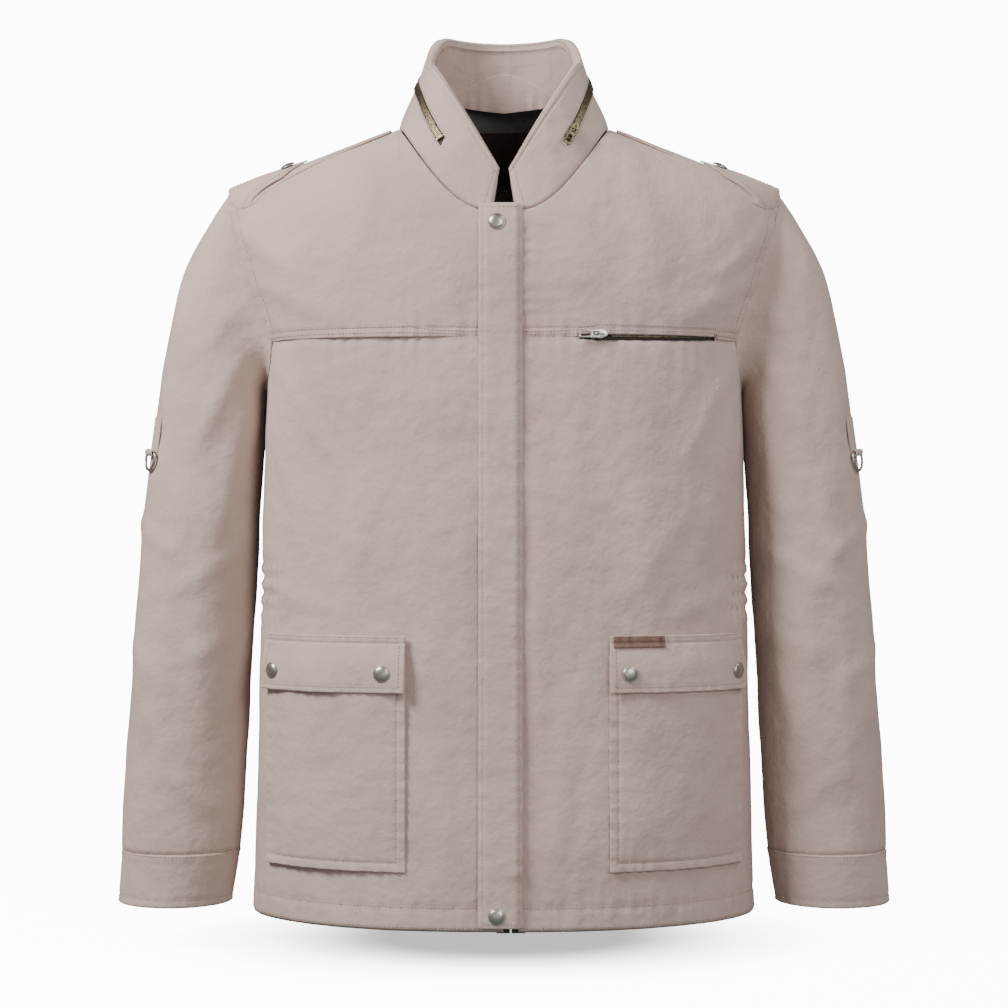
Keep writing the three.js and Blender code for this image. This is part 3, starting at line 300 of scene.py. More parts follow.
SHELL = cloth("shell_twill", "bfa99e", "ae988d", 0.85, 0.15, 0.7, 2.2)
LINING = cloth("grey_lining", "6f6a67", "4d4946", 0.55, 0.1, 0.4, 2.2, 0.1)
PATCH = cloth("label_weave", "3b2823", "2a1c18", 0.8, 0.05, 0.5, 0.3, 0.1)
TAPE = cloth("zip_weave", "4b4437", "332d25", 0.8, 0.05, 0.6, 0.1, 0.1)
ELASTIC = cloth("elastic_knit", "a39a8d", "8a8176", 0.85, 0.1, 1.0, 0.4, 0.2)
THREAD = blank("sewing_thread", 0.75)[0]
THREAD.node_tree.nodes["Principled BSDF"].inputs["Base Color"].default_value = (*linear("8f7b71"), 1)
BRASS = metal("aged_brass", "8a7f66", "5a523f", 0.42, 0.2)
NICKEL = metal("plated_nickel", "b9b4ab", "a19b92", 0.3, 0.3)
LEATHER = hide()
print("materials", len(bpy.data.materials))

# %% [markdown]
# ## The jacket's surfaces
# The body is a superellipse in plan that grows from chest to hem. Above the chest seam
# the yoke curls over to the shoulder ridge. The collar runs from the neck seam to its
# own rim, and each sleeve from the armhole seam to the cuff.

# %%
# Sizes and surface functions
hem_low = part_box("back_panel")[0]
yoke_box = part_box("right_front_yoke")
HEM = hem_low[2]
CHEST = -0.2
HEM_WIDTH, CHEST_WIDTH = -hem_low[0], 0.221
CHEST_SQUARE, HEM_SQUARE, NECK_MIDDLE_SQUARE = 3.0, 2.2, 3.5
CHEST_DEPTH, HEM_DEPTH = -yoke_box[0][1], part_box("back_panel")[1][1]
POINT_WIDTH, POINT_DROP = -yoke_box[0][0], 0.060
ARMHOLE_WIDTH, UNDERARM = 0.214, 0.045
NECK_WIDTH, NECK_FRONT, NECK_BACK, NECK_RISE = 0.099, 0.112, 0.070, 0.074
NECK_SQUARE = (2.9, 2.2)
COLLAR_WIDTH, COLLAR_FRONT, COLLAR_BACK, COLLAR_FORWARD = 0.072, 0.103, 0.062, 0.008
COLLAR_DROP, COLLAR_SIDE, COLLAR_TOP = 0.052, 0.066, 0.099
SLEEVE_OUT = np.array([[0.264, -0.060], [0.330, -0.150], [0.350, -0.400], [0.361, -0.676]])
SLEEVE_IN = np.array([[0.222, -0.245], [0.222, -0.250], [0.236, -0.420], [0.250, -0.676]])
CUFF_OUT, CUFF_IN, CUFF_HEIGHT = 0.364, 0.258, 0.050
ELBOW_DEPTH, WRIST_DEPTH, SLEEVE_LENGTH = 0.066, 0.048, 0.62
ARM_ROUND, WRIST_ROUND = 0.07, 0.05
SIDE = {"right": -1, "left": 1}
GAP = 0.4 * MM


def lerp(a, b, t):
    return a + (b - a) * t


def smooth(x, low, high):
    t = np.clip((x - low) / (high - low), 0, 1)
    return t * t * (3 - 2 * t)


def shaped(value, squareness):
    return np.sign(value) * np.abs(value) ** (2 / squareness)


def across(share, squareness):
    return (1 - np.clip(np.abs(share), 0, 1) ** squareness) ** (1 / squareness)


def section(z):
    share = np.clip((CHEST - z) / (CHEST - HEM), 0, 1)
    return (
        lerp(CHEST_WIDTH, HEM_WIDTH, share**0.8),
        lerp(CHEST_DEPTH, HEM_DEPTH, share),
        lerp(CHEST_SQUARE, HEM_SQUARE, share),
    )


ARM_SHARE = ARMHOLE_WIDTH / CHEST_WIDTH
ARM_DEPTH = CHEST_DEPTH * across(ARM_SHARE, CHEST_SQUARE)


def last_angle(z):
    drop = np.clip((CHEST - z) / UNDERARM, 0, 1)
    _, depth, square = section(z)
    y = ARM_DEPTH * np.sqrt(1 - drop**2)
    return np.arccos(np.clip(y / depth, 0, 1) ** (square / 2))


def angle_at(x, z):
    width, _, square = section(z)
    return np.sign(x) * np.arcsin(np.clip(np.abs(x) / width, 0, 1) ** (square / 2))


def body(turn, z, facing):
    """Round the body: turn is the angle from the middle of the front or back."""
    width, depth, square = section(z)
    x = width * shaped(np.sin(turn), square)
    return np.stack([x, facing * depth * shaped(np.cos(turn), square), z + 0 * x], -1)


def ridge(x, facing):
    beyond = np.abs(x) - NECK_WIDTH
    slope = -POINT_DROP * beyond / (POINT_WIDTH - NECK_WIDTH)
    hump = np.clip(1 - (x / NECK_WIDTH) ** 2, 0, 1) ** 1.5 * NECK_RISE
    return np.where(beyond > 0, slope, np.where(facing > 0, hump, 0))


def yoke_width(h):
    return lerp(ARMHOLE_WIDTH, POINT_WIDTH, h)


def yoke_square(s):
    return lerp(NECK_MIDDLE_SQUARE, HEM_SQUARE, np.abs(s))


def yoke(s, c, facing):
    """Above the chest: s is the share of the way to the armhole, c the share up to the ridge."""
    turn = np.clip(c, 0, 1) * math.pi / 2
    h = shaped(np.sin(turn), yoke_square(s))
    depth = CHEST_DEPTH * across(s * ARM_SHARE, CHEST_SQUARE)
    y = facing * depth * across(h, yoke_square(s))
    return np.stack([s * yoke_width(h), y, lerp(CHEST, ridge(s * POINT_WIDTH, facing), h)], -1)


def shoulder_height(x, y):
    facing = np.where(y > 0, 1, -1)
    h = np.ones_like(x + y)
    for _ in range(30):
        s = np.clip(x / yoke_width(h), -1, 1)
        depth = CHEST_DEPTH * across(s * ARM_SHARE, CHEST_SQUARE)
        h = lerp(h, across(y / depth, yoke_square(s)), 0.6)
    return lerp(CHEST, ridge(x / yoke_width(h) * POINT_WIDTH, facing), h)


def shoulder(x, y):
    x, y = np.broadcast_arrays(x, y)
    return np.stack([x, y, shoulder_height(x, y)], -1)


def front(x, z):
    """The front seen face on: the shell's outer face above and below the chest seam."""
    x, z = np.broadcast_arrays(np.asarray(x, float), np.asarray(z, float))
    width, depth, square = section(z)
    low = -depth * across(x / width, square)
    h = np.clip((z - CHEST) / (ridge(x, -1) - CHEST), 0, 1)
    s = np.clip(x / yoke_width(h), -1, 1)
    high = -CHEST_DEPTH * across(s * ARM_SHARE, CHEST_SQUARE) * across(h, yoke_square(s))
    return np.stack([x, np.where(z < CHEST, low, high), z], -1)


def neck_seam(turn):
    ahead = np.cos(turn) > 0
    square = np.where(ahead, *NECK_SQUARE)
    x = NECK_WIDTH * shaped(np.sin(turn), square)
    y = -np.where(ahead, NECK_FRONT, NECK_BACK) * shaped(np.cos(turn), square)
    return np.stack([x, y, shoulder_height(x, y)], -1)


def collar_top(turn):
    ahead = np.cos(turn) > 0
    depth = np.where(ahead, COLLAR_FRONT, COLLAR_BACK)
    x = COLLAR_WIDTH * np.sin(turn)
    y = -depth * np.cos(turn) - COLLAR_FORWARD * np.abs(np.sin(turn))
    back_turn = np.clip(-np.cos(turn) * 1.5, 0, 1) * math.pi / 2
    back = lerp(COLLAR_SIDE, COLLAR_TOP, np.sin(back_turn))
    front_z = lerp(-COLLAR_DROP, COLLAR_SIDE, np.abs(np.sin(turn)))
    return np.stack([x, y, np.where(ahead, front_z, back)], -1)


def collar(turn, share):
    share = np.asarray(share)[..., None]
    return neck_seam(turn) * (1 - share) + collar_top(turn) * share


def bezier(points, t):
    t = np.clip(t, 0, 1)[..., None]
    a, b, c, d = points
    return a * (1 - t) ** 3 + 3 * b * t * (1 - t) ** 2 + 3 * c * t * t * (1 - t) + d * t**3


def sleeve_middle(v):
    """The middle of the sleeve at v, its half width as a vector in x and z, and its half depth."""
    below = np.maximum(v - 1, 0)
    outer, inner = (
        bezier(line, v) + below[..., None] * np.array([cuff - line[3, 0], -CUFF_HEIGHT])
        for line, cuff in ((SLEEVE_OUT, CUFF_OUT), (SLEEVE_IN, CUFF_IN))
    )
    t = np.clip(v, 0, 1)
    depth = ARM_DEPTH * (1 - t) ** 2 + 2 * ELBOW_DEPTH * t * (1 - t) + WRIST_DEPTH * t * t
    depth = depth - 0.002 * below
    return (outer + inner) / 2, (outer - inner) / 2, depth


def armhole(turn):
    """The armhole seam: turn 0 is the shoulder point and a half turn is the underarm."""
    up = np.cos(turn)
    h = np.clip(up, 0, 1) ** (2 / HEM_SQUARE)
    y_high = -ARM_DEPTH * shaped(np.sin(turn), HEM_SQUARE)
    high = np.stack([yoke_width(h), y_high, lerp(CHEST, -POINT_DROP, h)], -1)
    y_low = -ARM_DEPTH * np.sin(turn)
    z_low = CHEST + UNDERARM * np.minimum(up, 0)
    width, depth, square = section(z_low)
    low = np.stack([width * across(y_low / depth, square), y_low, z_low], -1)
    return np.where((up > 0)[..., None], high, low)


def sleeve(turn, v, sign):
    turn, v = np.broadcast_arrays(np.asarray(turn, float), np.asarray(v, float))
    middle, half, depth = sleeve_middle(v)
    x = middle[..., 0] + half[..., 0] * np.cos(turn)
    z = middle[..., 1] + half[..., 1] * np.cos(turn)
    y = -0.005 * np.clip(v, 0, 1) - depth * np.sin(turn)
    ring = np.stack([x, y, z], -1)
    seam = armhole(turn)
    share = smooth(v, 0, 0.16)[..., None]
    out = seam * (1 - share) + ring * share
    return out * np.array([sign, 1, 1])


def normals(fn, u, v, core):
    """Unit normals of a surface, turned away from its core."""
    step = 2e-5
    du = fn(u + step, v) - fn(u - step, v)
    dv = fn(u, v + step) - fn(u, v - step)
    n = np.cross(du, dv)
    n /= np.maximum(np.linalg.norm(n, axis=-1, keepdims=True), 1e-12)
    p = fn(u, v)
    side = np.sum(n * (p - core(p, u, v)), -1, keepdims=True)
    return np.where(side < 0, -n, n)


def trunk_core(p, u, v):
    return p * np.array([0, 0, 1])


def yoke_core(p, u, v):
    return np.zeros_like(p) + np.array([0, 0, 2 * CHEST])


def shoulder_core(p, u, v):
    return p - np.array([0, 0, 1])


def collar_core(p, u, v):
    return p * np.array([0, 0, 1]) - np.array([0, 0, 0.02])


print("armhole half depth", round(float(ARM_DEPTH) * 1000, 1), "mm")

# %% [markdown]
# ## Cloth relief
# Cloth is never flat: broad dents, drag lines that start at a seam, and puckers where the
# thread has drawn the cloth in. They are added along the surface's normal.

# %%
# Relief functions
def fog(p, scale, stretch=(1, 1, 1), seed=0.0):
    """Smooth noise from -1 to 1 at each point, scale waves a metre."""
    q = (p * np.array(stretch) * scale + seed).reshape(-1, 3)
    return np.array([noise.noise(Vector(w)) for w in q]).reshape(p.shape[:-1])


def crease(p, start, end, width, depth):
    """A soft fold between two places in x and z: it rises by depth and fades at both ends."""
    a, b = np.array(start) * MM, np.array(end) * MM
    q = p[..., [0, 2]]
    along = b - a
    length = np.linalg.norm(along)
    t = (q - a) @ along / length**2
    off = ((q - a) @ np.array([-along[1], along[0]])) / length
    fade = smooth(t, -0.15, 0.25) * smooth(-t, -1.15, -0.7)
    return depth * MM * np.exp(-((off / (width * MM)) ** 2)) * fade


def creases(p, folds):
    return sum(crease(p, *fold) for fold in folds)


def groove(distance, width, depth):
    """A line pressed into the cloth: distance from it in metres, width and depth in mm."""
    return -depth * MM * np.exp(-((distance / (width * MM)) ** 2))


def pucker(distance, along, reach=12, pitch=13, depth=0.45, seed=0.0):
    """Ripples across a seam: distance is how far the cloth lies from it, along the place on it."""
    wave = np.sin(along / (pitch * MM) * 2 * math.pi + 2.0 * np.sin(along / (pitch * MM) * 1.7 + seed))
    return depth * MM * wave * np.exp(-np.abs(distance) / (reach * MM))


# %% [markdown]
# ## The cloth builder
# Every cloth piece is a closed sheet: an outer and an inner face that meet in a rolled
# edge. Rows crowd towards the edges so that the roll is round.

# %%
# Builder for cloth pieces
def spaced(start, end, step, edge=1.0, fine=(), fine_width=None):
    """Places from start to end: a step apart, closer within edge of both ends and near fine places."""
    length = abs(end - start)
    count = max(int(round(length / step)), 2)
    places = list(np.linspace(start, end, count + 1))
    direction = 1 if end > start else -1
    for share in (0.12, 0.3, 0.6, 1.0):
        places += [start + direction * edge * share, end - direction * edge * share]
    for place in fine:
        places += list(np.linspace(place - fine_width, place + fine_width, 5))
    low, high = min(start, end), max(start, end)
    kept = sorted({round(float(x), 7) for x in places if low <= x <= high})
    thin = [kept[0]]
    for x in kept[1:]:
        if x - thin[-1] > 0.1 * edge:
            thin.append(x)
    thin[-1] = kept[-1]
    return np.array(thin if direction > 0 else thin[::-1])


def arc(points, axis):
    """Arc length along one axis of a grid of points, from its first row or column."""
    steps = np.linalg.norm(np.diff(points, axis=axis), axis=-1)
    zero = np.zeros_like(np.take(steps, [0], axis=axis))
    return np.concatenate([zero, np.cumsum(steps, axis=axis)], axis=axis)


def soft_sheet(name, fn, core, us, vs, low, high, material, body_name, nodes=(), relief=None,
               roll=None, ring=False, bend=None):
    """One closed piece of cloth. fn(u, v) is its outer face in place; low and high are lifts off it."""
    u, v = np.meshgrid(us, vs)
    p = fn(u, v)
    n = normals(fn, u, v, core)
    low = low(u, v) if callable(low) else low + 0 * u
    high = high(u, v) if callable(high) else high + 0 * u
    along_u, along_v = arc(p, 1), arc(p, 0)
    to_end_v = np.minimum(along_v, along_v[-1:] - along_v)
    to_end_u = np.minimum(along_u, along_u[:, -1:] - along_u)
    distance = to_end_v if ring else np.minimum(to_end_u, to_end_v)
    radius = roll or float(np.mean(high - low)) / 2
    round_off = np.sqrt(1 - (1 - np.clip(distance / radius, 0, 1)) ** 2)
    raised = relief(u, v, p, to_end_u, to_end_v) if relief else 0 * u
    middle, half = (low + high) / 2 + raised, (high - low) / 2 * round_off
    outer = p + n * (middle + half)[..., None]
    inner = p + n * (middle - half)[..., None]
    obj = closed_grid(name, outer, inner, ring, along_u, along_v)
    obj.data.materials.append(material)
    if bend:
        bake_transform(obj)
    else:
        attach(obj, body_name)
    if nodes:
        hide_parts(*nodes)
    return obj


def closed_grid(name, outer, inner, ring, along_u, along_v):
    """Joins an outer and an inner grid into one closed mesh, sharing the vertices on its border."""
    rows, columns = outer.shape[:2]
    used = columns - 1 if ring else columns
    index = np.arange(rows * used).reshape(rows, used)
    back = np.full((rows, used), -1)
    points = list(outer[:, :used].reshape(-1, 3))
    lengths = list(np.stack([along_u[:, :used], along_v[:, :used]], -1).reshape(-1, 2))
    for i in range(rows):
        for j in range(used):
            border = i in (0, rows - 1) or (not ring and j in (0, used - 1))
            if border:
                back[i, j] = index[i, j]
            else:
                back[i, j] = len(points)
                points.append(inner[i, j])
                lengths.append((along_u[i, j], along_v[i, j]))
    faces = []
    for i in range(rows - 1):
        for j in range(columns - 1):
            k = (j + 1) % used
            a, b, c, d = index[i, j], index[i, k], index[i + 1, k], index[i + 1, j]
            faces.append((a, b, c, d))
            a, b, c, d = back[i, j], back[i + 1, j], back[i + 1, k], back[i, k]
            faces.append((a, b, c, d))
    mesh = bpy.data.meshes.new(name)
    mesh.from_pydata([tuple(map(float, q)) for q in points], [], [tuple(map(int, f)) for f in faces])
    turned = volume(mesh) < 0
    if turned:
        mesh.flip_normals()
    mesh.polygons.foreach_set("use_smooth", [True] * len(mesh.polygons))
    layer = mesh.uv_layers.new(name="cloth")
    at = np.array(lengths, dtype=float)
    corner = np.empty(len(mesh.loops), dtype=np.int32)
    mesh.loops.foreach_get("vertex_index", corner)
    layer.data.foreach_set("uv", at[corner].astype(np.float32).ravel())
    obj = bpy.data.objects.new(name, mesh)
    scene.collection.objects.link(obj)
    return obj


def volume(mesh):
    mesh.calc_loop_triangles()
    points = np.empty(len(mesh.vertices) * 3)
    mesh.vertices.foreach_get("co", points)
    points = points.reshape(-1, 3)
    triangles = np.array([t.vertices[:] for t in mesh.loop_triangles])
    a, b, c = (points[triangles[:, k]] for k in range(3))
    return float(np.sum(a * np.cross(b, c)) / 6)


# %% [markdown]
# ## Stitches and other repeats
# One Geometry Nodes group sets a small shape on every point of a mesh, turned by an
# attribute. Stitches are stretched spheres; zip teeth are small blocks.

# %%
# The repeat group
def repeat_group(kind):
    tree = bpy.data.node_groups.new(f"repeat_{kind}", "GeometryNodeTree")
    tree.interface.new_socket("Geometry", in_out="INPUT", socket_type="NodeSocketGeometry")
    size = tree.interface.new_socket("Size", in_out="INPUT", socket_type="NodeSocketVector")
    paint = tree.interface.new_socket("Material", in_out="INPUT", socket_type="NodeSocketMaterial")
    tree.interface.new_socket("Geometry", in_out="OUTPUT", socket_type="NodeSocketGeometry")
    given = tree.nodes.new("NodeGroupInput")
    turn = node(tree, "GeometryNodeInputNamedAttribute", {"Name": "turn"}, data_type="FLOAT_VECTOR")
    if kind == "stitch":
        shape = node(tree, "GeometryNodeMeshUVSphere", {"Segments": 6, "Rings": 4, "Radius": 0.5})
    else:
        shape = node(tree, "GeometryNodeMeshCube", {"Size": (1, 1, 1)})
    spread = node(
        tree, "GeometryNodeInstanceOnPoints",
        {
            "Points": given.outputs["Geometry"], "Instance": shape.outputs["Mesh"],
            "Rotation": turn.outputs["Attribute"], "Scale": given.outputs["Size"],
        },
    )
    real = node(tree, "GeometryNodeRealizeInstances", {"Geometry": spread.outputs["Instances"]})
    painted = node(
        tree, "GeometryNodeSetMaterial",
        {"Geometry": real.outputs["Geometry"], "Material": given.outputs["Material"]},
    )
    shade = node(
        tree, "GeometryNodeSetShadeSmooth",
        {"Geometry": painted.outputs["Geometry"], "Shade Smooth": kind == "stitch"},
    )
    result = tree.nodes.new("NodeGroupOutput")
    tree.links.new(shade.outputs["Geometry"], result.inputs["Geometry"])
    return tree, size.identifier, paint.identifier


REPEATS = {kind: repeat_group(kind) for kind in ("stitch", "tooth")}


def repeat(name, kind, points, turns, size, material, body_name):
    """Sets one small shape on each point and keeps the result as a plain mesh."""
    tree, size_key, paint_key = REPEATS[kind]
    mesh = bpy.data.meshes.new(name)
    mesh.from_pydata([tuple(map(float, p)) for p in points], [], [])
    attribute = mesh.attributes.new("turn", "FLOAT_VECTOR", "POINT")
    attribute.data.foreach_set("vector", np.array(turns, dtype=np.float32).ravel())
    seed = bpy.data.objects.new(f"{name}_points", mesh)
    scene.collection.objects.link(seed)
    modifier = seed.modifiers.new("repeat", "NODES")
    modifier.node_group = tree
    modifier[size_key] = size
    modifier[paint_key] = material
    evaluated = seed.evaluated_get(bpy.context.evaluated_depsgraph_get())
    baked = bpy.data.meshes.new_from_object(evaluated)
    bpy.data.objects.remove(seed)
    obj = bpy.data.objects.new(name, baked)
    scene.collection.objects.link(obj)
    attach(obj, body_name)
    return obj


stitch_rows = {}


def sew(body_name, path, length=2.6 * MM, gap=0.9 * MM):
    """Adds a row of stitches along a path of points in place. They are made together at the end."""
    path = np.asarray(path, float)
    run = np.concatenate([[0], np.cumsum(np.linalg.norm(np.diff(path, axis=0), axis=-1))])
    places = np.arange(length / 2, run[-1] - length / 2, length + gap)
    if len(places) < 1:
        return
    at = np.stack([np.interp(places, run, path[:, k]) for k in range(3)], -1)
    ahead = np.stack([np.interp(places + length / 2, run, path[:, k]) for k in range(3)], -1)
    row = stitch_rows.setdefault(body_name, ([], []))
    for place, aim in zip(at, ahead):
        row[0].append(place)
        row[1].append(tuple(Vector(aim - place).to_track_quat("X", "Z").to_euler()))


def on(fn, core, u, v, lift, relief=None, to_u=0):
    """Points on a surface along u and v, lifted off it and over its relief."""
    u, v = np.broadcast_arrays(np.asarray(u, float), np.asarray(v, float))
    p = fn(u, v)
    raised = lift + relief(u, v, p, to_u, 0) if relief else lift
    return p + normals(fn, u, v, core) * np.asarray(raised)[..., None]


# %% [markdown]
# ## Body panels and yokes
# Each front and the back is one panel below the chest seam and a yoke above it. The
# yoke laps over the panel by a few millimetres. The sides are drawn in by the elastic.

# %%
# Body panels
LAP, HEM_FOLD = 0.004, 0.021
CLOTH = 2 * MM
ZIP_X = 0.006
FRONT_START = {"right": 0.0005, "left": 0.0125}
CHEST_ZIP = (0.066, 0.194)
ARM_SEAM = 1 - 0.007 / 0.24


PANEL_FOLDS = (
    ((-208, -225), (-150, -320), 9, 2.4), ((208, -222), (160, -320), 9, 2.4),
    ((-214, -270), (-172, -400), 12, 2.4), ((214, -270), (182, -400), 12, 2.2),
    ((-120, -320), (-142, -460), 14, 1.6), ((120, -330), (137, -455), 14, 1.6),
    ((-60, -240), (-45, -400), 14, 1.2), ((70, -260), (55, -420), 14, 1.2),
    ((-175, -340), (-100, -440), 12, 1.3), ((172, -350), (96, -450), 12, 1.3),
    ((-214, -430), (-150, -448), 9, 1.6), ((214, -432), (152, -452), 9, 1.6),
    ((60, -520), (45, -690), 11, 1.8), ((-62, -540), (-48, -700), 11, 1.7),
    ((-36, -300), (-30, -560), 9, 1.0), ((34, -330), (30, -600), 9, 1.0),
)


def body_dents(p):
    """Broad dents and drag lines of the body, about a millimetre high."""
    broad = 2.6 * MM * fog(p, 8, (1.0, 0.6, 0.4), 3.1) + 1.3 * MM * fog(p, 22, (1.0, 0.5, 0.5), 7.7)
    broad = broad + 0.5 * MM * fog(p, 62, (1.0, 0.5, 0.7), 1.7)
    return broad + creases(p, PANEL_FOLDS)


def gathers(p):
    """The ruffles over the waist elastic at the two sides."""
    band = smooth(p[..., 2], -0.470, -0.440) * smooth(-p[..., 2], 0.392, 0.418)
    side = smooth(np.abs(p[..., 0]), 0.196, 0.224)
    wave = np.sin(p[..., 1] / (8.5 * MM) * 2 * math.pi + 3 * fog(p, 30, seed=5.0))
    tucks = np.sin((p[..., 2] + 0.43) / (15 * MM) * 2 * math.pi)
    return side * band * (2.4 * MM * wave + 1.5 * MM * tucks - 2.6 * MM)


def zip_gape(x):
    """How far the chest seam gapes over the pocket zip: widest near the slider."""
    share = np.clip((x - CHEST_ZIP[0]) / (CHEST_ZIP[1] - CHEST_ZIP[0]), 0, 1)
    return 4.6 * MM * np.where((share > 0) & (share < 1), (1 - share) ** 0.5 * share**0.25 + 0.25, 0)


def panel_relief(u, v, p, to_u, to_v):
    x, z = p[..., 0], p[..., 2]
    fold = z - HEM - HEM_FOLD
    hem = pucker(fold, x, 10, 12, 0.8, 1.0) + groove(fold, 3, 0.8)
    seam = pucker(z - CHEST, x, 16, 17, 0.7, 2.0)
    under_yoke = 0.9 * MM * smooth(z, CHEST - 0.010, CHEST - 0.002)
    return body_dents(p) + gathers(p) + hem + seam - under_yoke


def front_panel(side):
    sign = SIDE[side]

    def fn(s, t):
        z0 = HEM + (CHEST + LAP - HEM) * t
        start = angle_at(FRONT_START[side], z0)
        turn = lerp(start, last_angle(np.minimum(z0, CHEST)), s)
        p = body(turn, z0, -1) * np.array([sign, 1, 1])
        if side == "left":
            p[..., 2] -= smooth(t, 0.8, 1.0) * (zip_gape(p[..., 0]) + LAP * (zip_gape(p[..., 0]) > 0))
        return p

    us = spaced(0, 1, 0.009, 0.012)
    vs = np.concatenate(
        [np.linspace(0, 0.06, 12), np.linspace(0.066, 0.9, 110), np.linspace(0.903, 1, 26)]
    )
    soft_sheet(
        f"{side}_front", fn, trunk_core, us, vs, -CLOTH, 0.0, SHELL, "shell",
        (f"{side}_front_panel",), panel_relief,
    )
    for row in (HEM_FOLD, 0.0035):
        s = np.linspace(0.0, 1, 160)
        sew("shell", on(fn, trunk_core, s, row / (CHEST + LAP - HEM), 0.1 * MM, panel_relief))


def back_panel():
    def fn(s, t):
        z = HEM + (CHEST + LAP - HEM) * t
        return body(s * last_angle(np.minimum(z, CHEST)), z, 1)

    us = spaced(-1, 1, 0.012, 0.01)
    vs = np.concatenate(
        [np.linspace(0, 0.06, 10), np.linspace(0.066, 0.9, 90), np.linspace(0.903, 1, 20)]
    )
    soft_sheet(
        "back", fn, trunk_core, us, vs, -CLOTH, 0.0, SHELL, "shell", ("back_panel",), panel_relief
    )
    s = np.linspace(-1, 1, 300)
    sew("shell", on(fn, trunk_core, s, HEM_FOLD / (CHEST + LAP - HEM), 0.1 * MM, panel_relief))


def neck_share(s, facing):
    """How far up a yoke column reaches before the neck opening: 1 outside the neck."""
    c = np.linspace(0, 1, 700)
    grid = yoke(np.asarray(s)[..., None] + 0 * c, c + 0 * np.asarray(s)[..., None], facing)
    square, depth = (NECK_SQUARE[0], NECK_FRONT) if facing < 0 else (NECK_SQUARE[1], NECK_BACK)
    inside = (np.abs(grid[..., 0]) / NECK_WIDTH) ** square + (np.abs(grid[..., 1]) / depth) ** square < 1
    first = np.where(inside.any(-1), inside.argmax(-1), len(c) - 1)
    return c[first]


YOKE_FOLDS = (
    ((-245, -95), (-185, -150), 9, 2.4), ((245, -95), (190, -150), 9, 2.4),
    ((-235, -140), (-150, -185), 10, 1.8), ((235, -140), (160, -185), 10, 1.8),
    ((-110, -30), (-140, -150), 14, 1.5), ((112, -30), (140, -150), 14, 1.5),
)


def yoke_relief(u, v, p, to_u, to_v):
    x, z = p[..., 0], p[..., 2]
    seam = pucker(z - CHEST, x, 16, 17, 0.7, 2.0) + groove(z - CHEST - 6.5 * MM, 1.2, 0.6)
    arm = pucker(to_u, z, 11, 14, 0.7, 2.0) if np.ndim(to_u) else 0
    broad = 2.0 * MM * fog(p, 10, (1, 0.6, 0.7), 1.3) + 0.9 * MM * fog(p, 30, (1, 0.7, 0.8), 5.3)
    return broad + seam + arm + 1.4 * creases(p, YOKE_FOLDS)


def yoke_piece(name, facing, s0, s1, nodes):
    def fn(s, t):
        top = np.interp(s.ravel(), columns, tops).reshape(s.shape)
        p = yoke(s, np.clip(t, 0, 1) ** (yoke_square(s) / 2) * top, facing)
        p[..., 2] += np.minimum(t, 0) * 0.12
        if facing < 0:
            gape = zip_gape(p[..., 0])
            p[..., 2] += (gape > 0) * 2.4 * MM * smooth(-t, -0.1, 0)
        return p

    fine = np.arange(0.26, 0.40, 0.004)
    us = np.unique(np.round(np.concatenate([spaced(s0, s1, 0.014, 0.012), fine, -fine]), 5))
    us = us[(us >= min(s0, s1)) & (us <= max(s0, s1))]
    columns = np.linspace(min(s0, s1) - 0.01, max(s0, s1) + 0.01, 1200)
    tops = neck_share(np.clip(columns, -1, 1), facing)
    vs = np.concatenate([[-0.012, -0.006, 0.0], np.linspace(0.005, 0.08, 14), np.linspace(0.095, 1, 62)])
    soft_sheet(
        name, fn, yoke_core, us, vs, -CLOTH + 0.9 * MM, 1.3 * MM, SHELL, "shell", nodes, yoke_relief
    )
    s = np.linspace(s0, s1, 200)
    for t in (0.010, 0.030):
        sew("shell", on(fn, yoke_core, s, t, 1.4 * MM, yoke_relief))
    t = np.linspace(0.06, 0.97, 120)
    for end in {s0, s1}:
        if abs(end) == 1:
            sew("shell", on(fn, yoke_core, end * ARM_SEAM, t, 1.4 * MM, yoke_relief))


back_panel()
front_panel("right")
front_panel("left")
start = FRONT_START["left"] / ARMHOLE_WIDTH
yoke_piece("left_yoke", -1, start, 1, ("left_front_yoke",))
yoke_piece("right_yoke", -1, -1, -0.002, ("right_front_yoke",))
yoke_piece("back_yoke_cloth", 1, -1, 1, ("back_yoke",))
print("body pieces made")

# %% [markdown]
# ## Lining and neck label
# The lining hangs inside the shell. It shows through the open collar and under the hem.

# %%
# Lining and label
LINING_DEEP = 6.4 * MM


def lining_relief(u, v, p, to_u, to_v):
    return 2.2 * MM * fog(p, 16, (1.3, 1.3, 0.5), 9.0) - 1.2 * MM


def lining(name, facing, s0, s1, node_name):
    def fn(s, t):
        z = lerp(HEM + 0.022, CHEST, np.clip(t / 0.5, 0, 1))
        low = body(s * last_angle(z), z, facing)
        top = np.interp(s.ravel(), columns, tops).reshape(s.shape)
        high = yoke(s, np.clip((t - 0.5) / 0.5, 0, 1) * top, facing)
        return np.where((t > 0.5)[..., None], high, low)

    columns = np.linspace(min(s0, s1), max(s0, s1), 900)
    tops = neck_share(columns, facing)
    us = spaced(s0, s1, 0.03, 0.01)
    vs = np.linspace(0, 1, 70)
    soft_sheet(
        name, fn, yoke_core, us, vs, -LINING_DEEP - 1.2 * MM, -LINING_DEEP, LINING, "shell",
        (node_name,), lining_relief,
    )


lining("lining_back", 1, -0.97, 0.97, "back_lining")
lining("lining_right", -1, -0.97, -0.12, "right_front_lining")
lining("lining_left", -1, 0.12, 0.97, "left_front_lining")

LABEL_Z = (-0.032, 0.016)


